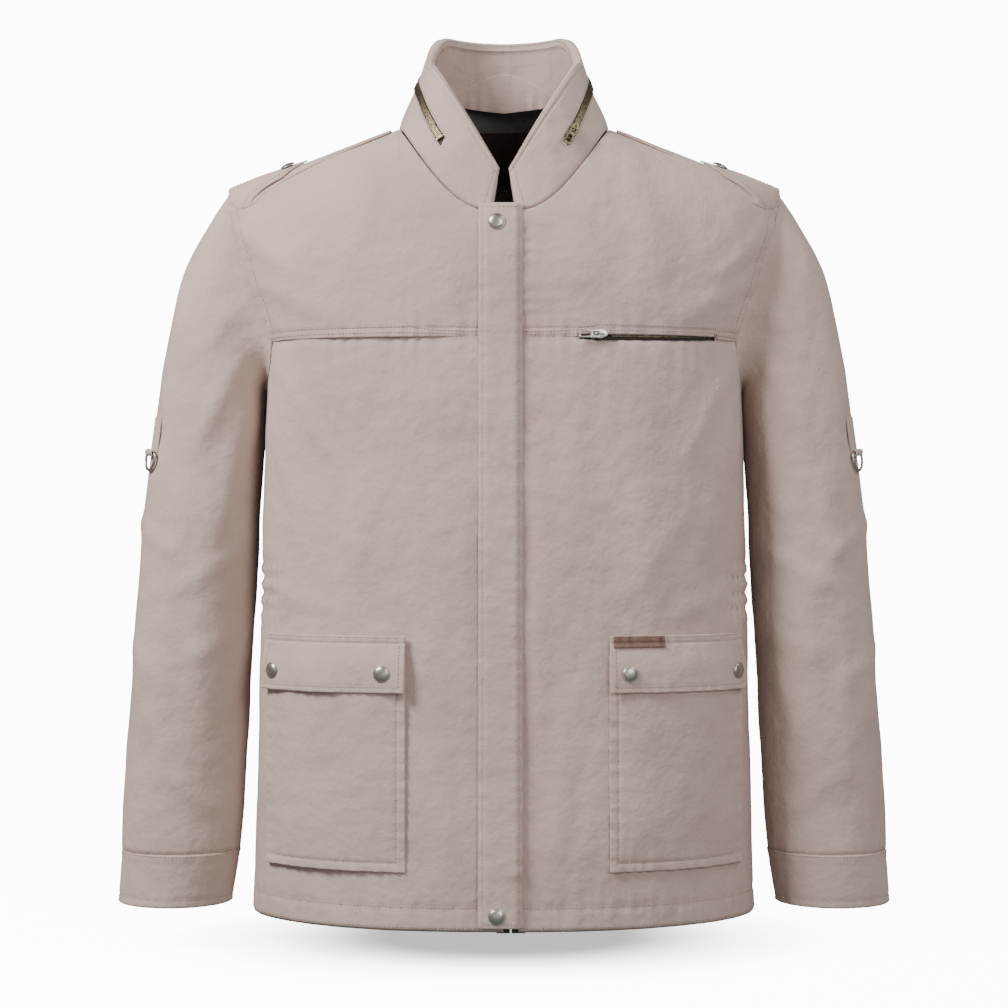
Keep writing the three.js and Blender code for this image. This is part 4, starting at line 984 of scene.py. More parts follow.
def nape(x, z):
    """The inside of the back, just in front of the lining, where the label is sewn."""
    x, z = np.broadcast_arrays(np.asarray(x, float), np.asarray(z, float))
    share = (z - LABEL_Z[0]) / (LABEL_Z[1] - LABEL_Z[0])
    y = lerp(0.0965, 0.0865, share) - 0.4 * MM * (x / 0.03) ** 2
    return np.stack([x, y, z], -1)


soft_sheet(
    "neck_patch", nape, lambda p, u, v: p + np.array([0, 1, 0]),
    spaced(-0.030, 0.030, 0.003, 0.8 * MM), spaced(*LABEL_Z, 0.003, 0.8 * MM),
    0.0, 0.8 * MM, PATCH, "shell", ("neck_label",),
)
print("lining made")

# %% [markdown]
# ## Collar
# Outer collar, stowed hood and inner collar are sewn together along the rim, so they show
# as one thick soft band. The hood fills it, and the zip for the hood runs around it.

# %%
# Collar
COLLAR_THICK = 9.0 * MM
SLIT = math.radians(2.2)


def collar_relief(u, v, p, to_u, to_v):
    rim = groove(below_rim(u, v) - 7 * MM, 1.6, 1.0)
    waves = 2.0 * MM * fog(p, 24, (1.0, 1.0, 0.6), 2.2) + 1.1 * MM * fog(p, 55, (1.0, 1.0, 0.4), 4.2)
    return rim + waves * smooth(v, 0.0, 0.2)


def below_rim(u, v):
    """Distance below the collar's rim."""
    height = np.linalg.norm(collar_top(u) - neck_seam(u), axis=-1)
    return (1 - v) * height


def facing(turn, drop):
    """The facing that hangs inside the back of the collar: drop runs from 0 to 1."""
    top = collar(turn, 0.22 + 0 * turn) - 0.010 * collar_out(turn)
    foot = top.copy()
    foot[..., 1] += 0.006
    foot[..., 2] = np.minimum(top[..., 2] - 0.004, FACING_FOOT + 0.1 * np.abs(top[..., 0]))
    return lerp(top, foot, np.asarray(drop)[..., None])


def collar_out(turn):
    """The level way out of the collar at a turn."""
    p = neck_seam(turn) * np.array([1, 1, 0])
    return p / np.linalg.norm(p, axis=-1, keepdims=True)


def facing_relief(u, v, p, to_u, to_v):
    folds = np.sin(u * 26 + 2.5 * np.sin(u * 9))
    return 0.8 * MM * folds * v + 0.8 * MM * fog(p, 45, (1.0, 1.0, 0.3), 1.2)


FACING_FOOT = 0.031
soft_sheet(
    "collar_facing", facing, lambda p, u, v: p * np.array([0, 0, 1]), spaced(1.75, 4.53, 0.03, 0.02),
    spaced(0, 1, 0.08, 0.03), -0.8 * MM, 0.8 * MM, SHELL, "shell", (), facing_relief,
)
turns = spaced(SLIT, 2 * math.pi - SLIT, 0.022, 0.05)
shares = np.concatenate([np.linspace(-0.01, 0.8, 22), np.linspace(0.83, 1.0, 12)])
soft_sheet(
    "collar_band", collar, collar_core, turns, shares, -COLLAR_THICK, 0.6 * MM, SHELL, "shell",
    ("collar_outer", "collar_inner", "stowed_hood"), collar_relief, roll=4.5 * MM,
)
for inset in (1.8 * MM, 7 * MM):
    t = np.linspace(SLIT + 0.05, 2 * math.pi - SLIT - 0.05, 700)
    height = np.linalg.norm(collar_top(t) - neck_seam(t), axis=-1)
    v = 1 - inset / height
    outside = -0.3 * MM if inset < 3 * MM else 0.5 * MM
    for lift in (outside, -COLLAR_THICK - 0.1 * MM):
        sew("shell", on(collar, collar_core, t, v, lift, collar_relief))
for side in (1, -1):
    v = np.linspace(0.05, 0.9, 60)
    t = side * (SLIT + 0.055) % (2 * math.pi)
    sew("shell", on(collar, collar_core, t, v, 0.6 * MM, collar_relief))
print("collar made")

# %% [markdown]
# ## Storm flap over the main zip
# A double layer, sewn down on the wearer's left and free on the right, held by two snaps.

# %%
# Storm flap
FLAP_FREE, FLAP_SEWN = -0.023, 0.0165
FREE_SEAM, SEWN_SEAM = 4.6 * MM, 3.2 * MM
flap_z = (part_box("placket_flap")[0][2] + 0.001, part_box("placket_flap")[1][2] - 0.001)


def placket_lift(x):
    from_sewn = FLAP_SEWN - x
    rise = smooth(from_sewn, 0.001, 0.006)
    fall = smooth(x - FLAP_FREE, 0.0, 0.008)
    return GAP + 3.4 * MM * rise * lerp(0.3, 1, fall)


def placket_relief(u, v, p, to_u, to_v):
    x, z = p[..., 0], p[..., 2]
    edge = pucker(x - FLAP_FREE, z, 8, 16, 0.6, 3.0) + pucker(x - FLAP_SEWN, z, 8, 14, 0.6, 5.0)
    tacks = sum(-groove(z - height, 4, 1.1) for height in (-0.425, -0.680)) * smooth(x, -0.004, 0.012)
    seam = groove(x - FLAP_FREE - FREE_SEAM, 1.0, 0.8)
    return 1.3 * MM * fog(p, 14, (0.5, 0.5, 1.0), 8.0) + edge + tacks + seam


us = spaced(FLAP_FREE, FLAP_SEWN, 2.2 * MM, 1.3 * MM, (FLAP_FREE + FREE_SEAM,), 1.6 * MM)
soft_sheet(
    "storm_flap", front, trunk_core, us, spaced(*flap_z, 3.5 * MM, 1.3 * MM),
    lambda u, v: placket_lift(u), lambda u, v: placket_lift(u) + 2.6 * MM, SHELL, "placket",
    ("placket_flap",), placket_relief,
)
seams_x = (FLAP_FREE + FREE_SEAM, FLAP_SEWN - SEWN_SEAM)
seams_z = (flap_z[0] + 4 * MM, flap_z[1] - 4 * MM)
for x in seams_x:
    lift = placket_lift(x) + 2.55 * MM
    sew("placket", on(front, trunk_core, x, np.linspace(*seams_z, 500), lift, placket_relief))
x = np.linspace(*seams_x, 30)
for z in seams_z:
    sew("placket", on(front, trunk_core, x, z, placket_lift(x) + 2.6 * MM, placket_relief))

# %% [markdown]
# ## Patch pockets and their flaps
# The bag is sewn on three sides. The flap is sewn along its top, and its lower edge waves
# a little where the two snaps hold it.

# %%
# Pockets
POCKET_X = {"right": (0.088, 0.217), "left": (0.094, 0.217)}
BAG_Z = (-0.680, -0.486)
FLAP_Z = (-0.520, -0.469)
BAG_SEAM, TOP_SEAM, LOW_SEAM = 8 * MM, 6.5 * MM, 5 * MM
SNAPS = {"right": (0.108, 0.206), "left": (0.111, 0.208)}


def bag_relief(u, v, p, to_u, to_v):
    swell = 2.4 * MM * smooth(to_u, 0.0, 0.035) * smooth(v - BAG_Z[0], 0.0, 0.05)
    rim = groove(np.minimum(to_u, v - BAG_Z[0]) - BAG_SEAM, 1.4, 0.9)
    ripples = pucker(to_u, v, 12, 11, 0.7, 1.0) + pucker(v - BAG_Z[0], u, 11, 12, 0.7, 2.0)
    return swell + rim + ripples + 1.6 * MM * fog(p, 16, (1, 0.6, 0.8), 6.0)


def flap_rise(z):
    """The flap's lift over the bag: none along its sewn top, most at the snaps."""
    share = (z - FLAP_Z[0]) / (FLAP_Z[1] - FLAP_Z[0])
    return lerp(5.8 * MM, GAP, smooth(share, 0.35, 1.0))


def flap_relief(u, v, p, to_u, to_v):
    x = np.abs(u)
    curl = smooth(-v, 0.495, 0.520) * (3.2 * MM * fog(p, 22, (1, 1, 0.1), 4.0) + 1.4 * MM)
    top = groove(v - FLAP_Z[1] + TOP_SEAM, 1.1, 0.9)
    ripples = pucker(v - FLAP_Z[1], u, 8, 11, 0.5, 3.0) + pucker(v - FLAP_Z[0], u, 8, 12, 0.6, 6.0)
    low = groove(v - FLAP_Z[0] - LOW_SEAM, 1.1, 0.6)
    return curl + top + low + ripples + 1.2 * MM * fog(p, 24, (1, 0.6, 1), 2.0)


for side, sign in SIDE.items():
    x0, x1 = (sign * x for x in POCKET_X[side])
    u = spaced(x0, x1, 2.6 * MM, 1.3 * MM, (x0 + sign * 8 * MM,), 2 * MM)
    soft_sheet(
        f"{side}_bag", front, trunk_core, u, spaced(*BAG_Z, 3 * MM, 1.3 * MM, (BAG_Z[0] + 8 * MM,), 2 * MM),
        GAP, 2.6 * MM, SHELL, "shell", (f"{side}_pocket_bag",), bag_relief,
    )
    inner, outer, foot = x0 + sign * BAG_SEAM, x1 - sign * BAG_SEAM, BAG_Z[0] + BAG_SEAM
    outline = [(inner, BAG_Z[1]), (inner, foot), (outer, foot), (outer, BAG_Z[1])]
    for a, b in zip(outline, outline[1:]):
        t = np.linspace(0, 1, 120)
        xs, zs = lerp(a[0], b[0], t), lerp(a[1], b[1], t)
        to_u = np.minimum(np.abs(xs - x0), np.abs(x1 - xs))
        sew("shell", on(front, trunk_core, xs, zs, 2.55 * MM, bag_relief, to_u))
    us = spaced(x0, x1, 2.4 * MM, 1.2 * MM)
    vs = spaced(*FLAP_Z, 2.4 * MM, 1.2 * MM, (FLAP_Z[1] - 6.5 * MM,), 1.8 * MM)
    soft_sheet(
        f"{side}_flap_cloth", front, trunk_core, us, vs, lambda u, v: flap_rise(v),
        lambda u, v: flap_rise(v) + 2.2 * MM, SHELL, f"{side}_flap", (f"{side}_pocket_flap",),
        flap_relief,
    )
    xs = np.linspace(x0 + sign * 5 * MM, x1 - sign * 4 * MM, 160)
    for z in (FLAP_Z[1] - 1.5 * MM, FLAP_Z[1] - TOP_SEAM, FLAP_Z[0] + LOW_SEAM):
        sew(f"{side}_flap", on(front, trunk_core, xs, z, flap_rise(z) + 2.25 * MM, flap_relief))
    zs = np.linspace(FLAP_Z[0] + 5 * MM, FLAP_Z[1] - 7 * MM, 40)
    for x in (x0 + sign * 5 * MM, x1 - sign * 5 * MM):
        sew(f"{side}_flap", on(front, trunk_core, x, zs, flap_rise(zs) + 2.25 * MM, flap_relief))

tag_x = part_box("flap_label")[0][0]
xs = spaced(tag_x + 0.001, tag_x + 0.047, 1.6 * MM, 0.7 * MM)
zs = spaced(FLAP_Z[1] - 10.6 * MM, FLAP_Z[1] - 0.2 * MM, 1.2 * MM, 0.7 * MM)
soft_sheet(
    "leather_tag", front, trunk_core, xs, zs, lambda u, v: flap_rise(v) + 2.4 * MM,
    lambda u, v: flap_rise(v) + 4.0 * MM, LEATHER, "left_flap", ("flap_label",),
    flap_relief,
)
print("pockets made")

# %% [markdown]
# ## Sleeves and cuffs
# A sleeve is sewn to the armhole; its cuff rides on the arm.
# Long folds run down the outside, and short ones start at the armhole and the elbow.

# %%
# Sleeves
SLEEVE_FOLDS = (
    ((292, -110), (333, -400), 9, 2.2), ((333, -380), (343, -650), 10, 1.6),
    ((236, -205), (286, -300), 10, 1.8), ((232, -245), (268, -390), 11, 1.8),
    ((238, -165), (300, -225), 10, 1.2), ((246, -395), (306, -432), 9, 1.6),
    ((352, -360), (296, -402), 8, 1.5), ((250, -470), (296, -500), 9, 1.2),
    ((352, -480), (310, -520), 8, 1.1), ((262, -640), (310, -600), 9, 1.3),
    ((270, -330), (282, -560), 14, 1.3), ((318, -430), (322, -640), 12, 1.0),
)
RING_TURN, RING_ALONG = math.radians(32), 0.5
STITCH_ROUND = np.linspace(0, 2 * math.pi, 360)


def sleeve_pieces(side):
    sign = SIDE[side]

    def fn(turn, v):
        return sleeve(turn, v, sign)

    def core(p, turn, v):
        middle, _, _ = sleeve_middle(v)
        return np.stack([sign * middle[..., 0], 0 * middle[..., 0], middle[..., 1]], -1)

    def relief(u, v, p, to_u, to_v):
        q = p * np.array([sign, 1, 1])
        folds = 1.6 * creases(q, SLEEVE_FOLDS)
        facing = smooth(-p[..., 1], -0.03, 0.01)
        broad = 3.6 * MM * fog(q, 10, (1.4, 1.2, 0.35), 3.3) + 1.6 * MM * fog(q, 26, (1, 1, 0.5), 6.1)
        broad = broad + 0.5 * MM * fog(q, 62, (1, 1, 0.7), 2.1)
        down = v * SLEEVE_LENGTH
        seam = pucker(down, u * ARM_ROUND, 16, 15, 0.9, 2.0) + groove(down, 6, 1.6)
        lower = pucker(SLEEVE_LENGTH - down, u * WRIST_ROUND, 12, 12, 0.5, 4.0)
        settle = smooth(v, 0.0, 0.06) * smooth(1 - v, -0.02, 0.05)
        near_tab = ((u - RING_TURN) * 0.06) ** 2 + ((v - RING_ALONG + 0.03) * SLEEVE_LENGTH) ** 2
        settle = settle * (1 - np.exp(-near_tab / 0.024**2))
        return (folds * lerp(0.35, 1, facing) + broad) * settle + seam + lower

    def cuff_relief(u, v, p, to_u, to_v):
        top, foot, round_it = (v - 1) * CUFF_HEIGHT, (2 - v) * CUFF_HEIGHT, u * WRIST_ROUND
        rows = sum(groove(top - at, 1.1, 0.8) for at in (0.009, 0.042))
        ripples = pucker(top, round_it, 9, 11, 0.35, 1.0) + pucker(foot - 0.008, round_it, 8, 11, 0.4, 3.0)
        sag = 1.0 * MM * fog(p, 18, (1, 1, 0.3), 5.0)
        return rows + ripples + sag

    seam_point = np.array([sign * 0.2425, 0, -0.1525])
    bend = (tuple(seam_point), tuple(seam_point + 0.055 * np.array([sign * 0.979, 0, -0.206])))
    around = np.linspace(0, 2 * math.pi, 121)
    down = np.concatenate(
        [np.linspace(0.004, 0.03, 5), np.linspace(0.038, 0.965, 118), np.linspace(0.97, 1.006, 7)]
    )
    body_name = f"{side}_arm"
    soft_sheet(
        f"{side}_sleeve_cloth", fn, core, around, down, -CLOTH, 0.0, SHELL, body_name,
        (f"{side}_sleeve",), relief, ring=True, bend=bend,
    )
    down = spaced(1.0, 2.0, 0.05, 0.03)
    soft_sheet(
        f"{side}_cuff_cloth", fn, core, around, down, -3 * MM, 0.9 * MM, SHELL, body_name,
        (f"{side}_cuff",), cuff_relief, ring=True,
    )
    soft_sheet(
        f"{side}_arm_lining", fn, core, np.linspace(0, 2 * math.pi, 61), np.linspace(0.09, 0.985, 56),
        -5.6 * MM, -4.6 * MM, LINING, body_name, (f"{side}_sleeve_lining",), ring=True,
        bend=bend,
    )
    for v in (1.035, 1.18, 1.84, 1.97):
        sew(body_name, on(fn, core, STITCH_ROUND, v, 0.95 * MM, cuff_relief))
    return fn, core, relief


SLEEVES = {side: sleeve_pieces(side) for side in SIDE}
print("sleeves made")

# %% [markdown]
# ## Epaulettes
# The strap is sewn down near the collar, folds back on itself at the shoulder point, and
# its pointed end is snapped to it.

# %%
# Epaulettes
STRAP_Y = (-0.050, -0.005)
STRAP_MIDDLE = sum(STRAP_Y) / 2
STRAP_SEAM, TIP_LENGTH = 4 * MM, 0.078
TIP_X = POINT_WIDTH - TIP_LENGTH
STRAP_LIFT, TIP_LIFT = 1.4 * MM, 5.6 * MM
TIP_SINK, TIP_SEAM = 2.4 * MM, 0.78
TIP_SHARE, CLEAR = 0.94, 1.1 * MM
FOLD = (TIP_LIFT - STRAP_LIFT) / 2


def strap_end(y):
    return yoke_width(across(y / ARM_DEPTH, HEM_SQUARE)) - 0.003


def strap_relief(u, v, p, to_u, to_v):
    rim = groove(np.minimum(to_u, to_v) - STRAP_SEAM, 1.0, 0.4)
    return rim + 0.5 * MM * fog(p, 30, (1, 1, 1), 3.0)


for side, sign in SIDE.items():
    def strap(u, v, sign=sign):
        return shoulder(sign * lerp(NECK_WIDTH + 0.006, strap_end(v), u), v)

    def tip(s, v, sign=sign):
        half = (STRAP_Y[1] - STRAP_Y[0]) / 2 * lerp(0.05, TIP_SHARE, np.clip(s / 0.022, 0, 1) ** 0.85)
        y = STRAP_MIDDLE + half * v
        fold_x = strap_end(y)
        run = fold_x - TIP_X
        turn = np.clip((s - run) / FOLD, 0, math.pi)
        x = np.where(s < run, TIP_X + s, fold_x + FOLD * np.sin(turn))
        x = x - np.maximum((s - run) - math.pi * FOLD, 0)
        laid = TIP_LIFT - TIP_SINK * (1 - smooth(s, 0, 0.045))
        lift = np.where(s < run, laid, STRAP_LIFT + FOLD + FOLD * np.cos(turn))
        p = shoulder(sign * x, y)
        p[..., 2] += lift + CLEAR
        return p

    def tip_core(p, s, v, sign=sign):
        half = (STRAP_Y[1] - STRAP_Y[0]) / 2 * TIP_SHARE
        fold_x = strap_end(STRAP_MIDDLE + half * v)
        inside = p - np.array([0, 0, 1])
        centre = shoulder(sign * (fold_x + 0 * s), p[..., 1])
        centre[..., 2] += STRAP_LIFT + FOLD + CLEAR
        late = s > fold_x - TIP_X
        return np.where(late[..., None], centre, inside)

    soft_sheet(
        f"{side}_strap", strap, shoulder_core, spaced(0, 1, 0.02, 0.01),
        spaced(*STRAP_Y, 2.4 * MM, 1.0 * MM), STRAP_LIFT - 0.6 * MM, STRAP_LIFT + 1.2 * MM, SHELL,
        "shell", (f"{side}_epaulette_strap",), strap_relief,
    )
    last = strap_end(STRAP_MIDDLE) - TIP_X + math.pi * FOLD
    along = np.concatenate([spaced(0, 0.070, 2.2 * MM, 0.8 * MM), np.linspace(0.0715, last, 16)])
    soft_sheet(
        f"{side}_tip_cloth", tip, tip_core, along, spaced(-1, 1, 0.1, 0.05), -0.9 * MM, 0.9 * MM, SHELL,
        f"{side}_tip", (f"{side}_epaulette_tip",), strap_relief,
    )
    s = np.linspace(0.006, 0.072, 90)
    for edge in (-TIP_SEAM, TIP_SEAM):
        sew(f"{side}_tip", on(tip, tip_core, s, edge, 1.0 * MM))
    sew(f"{side}_tip", on(tip, tip_core, s[0], np.linspace(-TIP_SEAM, TIP_SEAM, 12), 1.0 * MM))
    u = np.linspace(0.03, 0.45, 80)
    for y in (STRAP_Y[0] + STRAP_SEAM, STRAP_Y[1] - STRAP_SEAM):
        sew("shell", on(strap, shoulder_core, u, y, STRAP_LIFT + 1.2 * MM))
print("epaulettes made")

# %% [markdown]
# ## Metal and tape
# Snaps are domed caps over small studs. Zips are tapes with a block for each tooth, a
# slider and a pull. A helper stands each fitting on its place, with Z out of the cloth.

# %%
# Helpers for fittings
def stand(fn, core, u, v, lift, spin=0.0):
    """A frame on a surface: Z out of it, X along u, turned by spin."""
    uu, vv = np.array([float(u)]), np.array([float(v)])
    z = Vector(normals(fn, uu, vv, core)[0])
    p = Vector(fn(uu, vv)[0]) + z * lift
    step = 1e-4
    ahead = Vector((fn(uu + step, vv) - fn(uu - step, vv))[0])
    x = (ahead - z * ahead.dot(z)).normalized()
    x.rotate(Matrix.Rotation(spin, 3, z))
    y = z.cross(x)
    frame_matrix = Matrix((x, y, z)).transposed().to_4x4()
    frame_matrix.translation = p
    return frame_matrix


def fitting(name, verts, faces, matrix, material, body_name, nodes, slot, smooth_shade=True):
    """A hard piece, given in its own frame in millimetres and set down in place."""
    mesh = bpy.data.meshes.new(name)
    placed = [matrix @ (Vector(v) * MM) for v in verts]
    mesh.from_pydata([tuple(v) for v in placed], [], [tuple(map(int, f)) for f in faces])
    if volume(mesh) < 0:
        mesh.flip_normals()
    mesh.polygons.foreach_set("use_smooth", [smooth_shade] * len(mesh.polygons))
    mesh.materials.append(material)
    obj = bpy.data.objects.new(name, mesh)
    scene.collection.objects.link(obj)
    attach(obj, body_name)
    if nodes:
        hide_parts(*nodes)
    return obj


def lathe(profile, sides=40):
    """Turns [radius, height] points about Z; the first and last lie on the axis."""
    verts = [(0, 0, profile[0][1])]
    for r, h in profile[1:-1]:
        verts += [(r * math.cos(2 * math.pi * k / sides), r * math.sin(2 * math.pi * k / sides), h)
                  for k in range(sides)]
    verts.append((0, 0, profile[-1][1]))
    rings = len(profile) - 2
    faces = []
    for k in range(sides):
        n = (k + 1) % sides
        faces.append((0, 1 + k, 1 + n))
        for i in range(rings - 1):
            a, b = 1 + i * sides, 1 + (i + 1) * sides
            faces.append((a + k, b + k, b + n, a + n))
        last = 1 + (rings - 1) * sides
        faces.append((len(verts) - 1, last + n, last + k))
    return verts, faces


def slab(outline, low, high, round_by, holes=()):
    """A plate with rounded edges: outline and holes are loops of [x, y], low and high its faces."""
    curve = bpy.data.curves.new("outline", "CURVE")
    curve.dimensions = "2D"
    curve.fill_mode = "BOTH"
    curve.extrude = (high - low) / 2 - round_by
    curve.bevel_depth = round_by
    curve.bevel_resolution = 2
    curve.offset = -round_by
    for loop in (outline, *holes):
        spline = curve.splines.new("POLY")
        spline.points.add(len(loop) - 1)
        for point, (x, y) in zip(spline.points, loop):
            point.co = (x, y, 0, 1)
        spline.use_cyclic_u = True
    shape = bpy.data.objects.new("outline", curve)
    scene.collection.objects.link(shape)
    evaluated = shape.evaluated_get(bpy.context.evaluated_depsgraph_get())
    mesh = bpy.data.meshes.new_from_object(evaluated)
    middle = (low + high) / 2
    keys, verts, index = {}, [], []
    for vertex in mesh.vertices:
        key = tuple(round(c, 4) for c in vertex.co)
        if key not in keys:
            keys[key] = len(verts)
            verts.append((vertex.co.x, vertex.co.y, vertex.co.z + middle))
        index.append(keys[key])
    faces = []
    for face in mesh.polygons:
        loop = list(dict.fromkeys(index[k] for k in face.vertices))
        if len(loop) > 2:
            faces.append(loop)
    bpy.data.objects.remove(shape)
    return verts, faces


def round_box(x0, x1, y0, y1, radius, corner=6):
    """A rectangle with round corners, as a loop."""
    loop = []
    for cx, cy, start in ((x1, y1, 0), (x0, y1, 90), (x0, y0, 180), (x1, y0, 270)):
        mx = cx - radius if cx == x1 else cx + radius
        my = cy - radius if cy == y1 else cy + radius
        for k in range(corner + 1):
            turn = math.radians(start + 90 * k / corner)
            loop.append((mx + radius * math.cos(turn), my + radius * math.sin(turn)))
    return loop


def tube(path, radius, sides=10, closed_path=True):
    """A round wire along a path of [x, y, z] points."""
    path = [Vector(p) for p in path]
    count = len(path)
    verts, faces = [], []
    up = Vector((0, 0, 1))
    for i, p in enumerate(path):
        ahead = path[(i + 1) % count] if closed_path or i < count - 1 else p
        behind = path[i - 1] if closed_path or i > 0 else p
        along = (ahead - behind).normalized()
        side = along.cross(up)
        side = side.normalized() if side.length > 0.1 else Vector((1, 0, 0))
        top = side.cross(along)
        for k in range(sides):
            turn = 2 * math.pi * k / sides
            verts.append(tuple(p + side * radius * math.cos(turn) + top * radius * math.sin(turn)))
    spans = count if closed_path else count - 1
    for i in range(spans):
        for k in range(sides):
            a, b = i * sides, ((i + 1) % count) * sides
            n = (k + 1) % sides
            faces.append((a + k, b + k, b + n, a + n))
    if not closed_path:
        faces.append(tuple(range(sides)))
        faces.append(tuple(reversed(range((count - 1) * sides, count * sides))))
    return verts, faces


def merged(*shapes):
    verts, faces = [], []
    for points, loops in shapes:
        base = len(verts)
        verts += list(points)
        faces += [[base + k for k in loop] for loop in loops]
    return verts, faces


# %% [markdown]
# ## Snaps

# %%
# Snap fasteners
FLAP_SNAP_X, POCKET_SNAP_Z, TIP_SNAP = -6.5 * MM, -0.503, 0.062
CAP = [(0, 2.5), (1.6, 2.46), (3.2, 2.3), (4.7, 1.98), (5.8, 1.55), (6.3, 1.2), (6.45, 0.95), (6.7, 0.9),
       (7.0, 1.0), (7.3, 0.85), (7.45, 0.5), (7.3, 0.1), (6.8, -0.3), (0, -0.3)]
STUD = [(0, 1.9), (2.4, 1.85), (3.0, 1.6), (3.1, 1.3), (2.7, 0.9), (2.8, 0.6), (4.3, 0.5), (4.5, 0.25),
        (4.3, 0), (0, 0)]


def snap(place, fn, core, u, v, cap_lift, stud_lift, cap_body):
    """A cap on its body and, where stud_lift is given, a stud on the shell under it."""
    cap, stud = f"{place}_cap", f"{place}_stud"
    seat = stand(fn, core, u, v, cap_lift)
    fitting(f"{cap}_dome", *lathe(CAP), seat, NICKEL, cap_body, (cap,), "nickel")
    if stud_lift is not None:
        seat = stand(fn, core, u, v, stud_lift)
        fitting(f"{stud}_post", *lathe(STUD, 28), seat, NICKEL, "shell", (stud,), "nickel")


def at_relief(x, z, relief):
    """How far a relief raises the front at one place, well away from a piece's edges."""
    x, z, inside = (np.array([k]) for k in (x, z, 0.03))
    return float(np.ravel(relief(x, z, front(x, z), inside, inside))[0])


for end, drop in (("top", 0.099), ("bottom", 0.717)):
    x = FLAP_SNAP_X
    lift = float(placket_lift(np.array([x]))[0]) + 2.6 * MM + at_relief(x, -drop, placket_relief)
    snap(f"placket_{end}", front, trunk_core, x, -drop, lift + 0.2 * MM, GAP, "placket")
for side, sign in SIDE.items():
    for place, across_x in zip(("inner", "outer"), SNAPS[side]):
        x, z = sign * across_x, POCKET_SNAP_Z
        lift = float(flap_rise(z)) + 2.2 * MM + at_relief(x, z, flap_relief)
        stud = 2.8 * MM + at_relief(x, z, bag_relief)
        snap(f"{side}_flap_{place}", front, trunk_core, x, z, lift + 0.2 * MM, stud, f"{side}_flap")
    x = sign * (POINT_WIDTH - TIP_SNAP)
    snap(f"{side}_epaulette", shoulder, shoulder_core, x, STRAP_MIDDLE, 6.2 * MM, None, f"{side}_tip")
print("snaps made")

# %% [markdown]
# ## Zips
# The collar zip is the showy one: antiqued teeth on a dark tape, all round the collar.

# %%
# Zips
COLLAR_ZIP_END = math.radians(34)


def zip_share(turn):
    sideways = smooth(np.abs(np.sin(turn / 2)), math.sin(COLLAR_ZIP_END / 2), math.sqrt(0.5))
    return lerp(0.42, 0.64, sideways)


def collar_zip(u, v):
    height = np.linalg.norm(collar_top(u) - neck_seam(u), axis=-1)
    return collar(u, zip_share(u) + v / height)


def collar_zip_relief(u, v, p, to_u, to_v):
    return collar_relief(u, zip_share(u), p, 0, 0)


def tooth_row(fn, core, us, v, lift, name, size, relief=None):
    """A row of zip teeth across a path, each turned to lie square to it."""
    vs = v + 0 * us
    points = on(fn, core, us, vs, lift, relief)
    run = np.concatenate([[0], np.cumsum(np.linalg.norm(np.diff(points, axis=0), axis=-1))])
    n = normals(fn, us, vs, core)
    pitch = size[0] * 2.0 * MM
    places = np.arange(pitch, run[-1] - pitch, pitch)
    at = np.stack([np.interp(places, run, points[:, k]) for k in range(3)], -1)
    out = np.stack([np.interp(places, run, n[:, k]) for k in range(3)], -1)
    ahead = np.stack([np.interp(places + 0.5 * MM, run, points[:, k]) for k in range(3)], -1) - at
    turns = []
    for i in range(len(places)):
        z = Vector(out[i]).normalized()
        x = Vector(ahead[i])
        x = (x - z * x.dot(z)).normalized()
        turns.append(tuple(Matrix((x, z.cross(x), z)).transposed().to_euler()))
    dimensions = tuple(k * MM for k in size)
    repeat(name, "tooth", at, turns, dimensions, BRASS, "shell")


turns_u = spaced(COLLAR_ZIP_END, 2 * math.pi - COLLAR_ZIP_END, 0.03, 0.01)
soft_sheet(
    "collar_tape", collar_zip, collar_core, turns_u, spaced(-0.0048, 0.0048, 1.2 * MM, 0.5 * MM),
    0.5 * MM, 1.3 * MM, TAPE, "shell", ("collar_zip_tape",), collar_zip_relief,
)
long_way = np.linspace(COLLAR_ZIP_END + 0.02, 2 * math.pi - COLLAR_ZIP_END - 0.02, 1500)
for half, name in ((-1, "collar_teeth_low"), (1, "collar_teeth_high")):
    offset, size = half * 1.45 * MM, (0.85, 3.3, 1.1)
    tooth_row(collar_zip, collar_core, long_way, offset, 1.7 * MM, name, size, collar_zip_relief)

SLIDER_TOP = [(-7.5, -3.6), (-6.6, -4.1), (2.5, -4.1), (7.4, -1.8), (7.6, 0), (7.4, 1.8), (2.5, 4.1),
              (-6.6, 4.1), (-7.5, 3.6)]
BRIDGE = [(-4.0 * math.cos(math.pi * k / 14), 0, 3.1 + 2.5 * math.sin(math.pi * k / 14)) for k in range(15)]


def slider_and_pull(name, matrix, slide_body, pull_body, material, slot):
    top = slab(SLIDER_TOP, 2.1, 3.3, 0.35)
    foot = slab(SLIDER_TOP, 0.0, 1.0, 0.3)
    neck = slab(round_box(-1, 6.5, -1.1, 1.1, 0.6), 0.8, 2.3, 0.2)
    bridge = tube(BRIDGE, 0.75, 10, closed_path=False)
    fitting(f"{name}_slider_body", *merged(top, foot, neck, bridge), matrix, material, slide_body,
            (f"{name}_slider",), slot)
    pull = slab(round_box(-19, 0.9, -3.6, 3.6, 1.1), 3.85, 5.15, 0.35,
                (round_box(-5.6, -0.8, -1.9, 1.9, 0.6), round_box(-17, -8.4, -2.0, 2.0, 0.8)))
    fitting(f"{name}_pull_tab", *pull, matrix, material, pull_body, (f"{name}_pull",), slot)


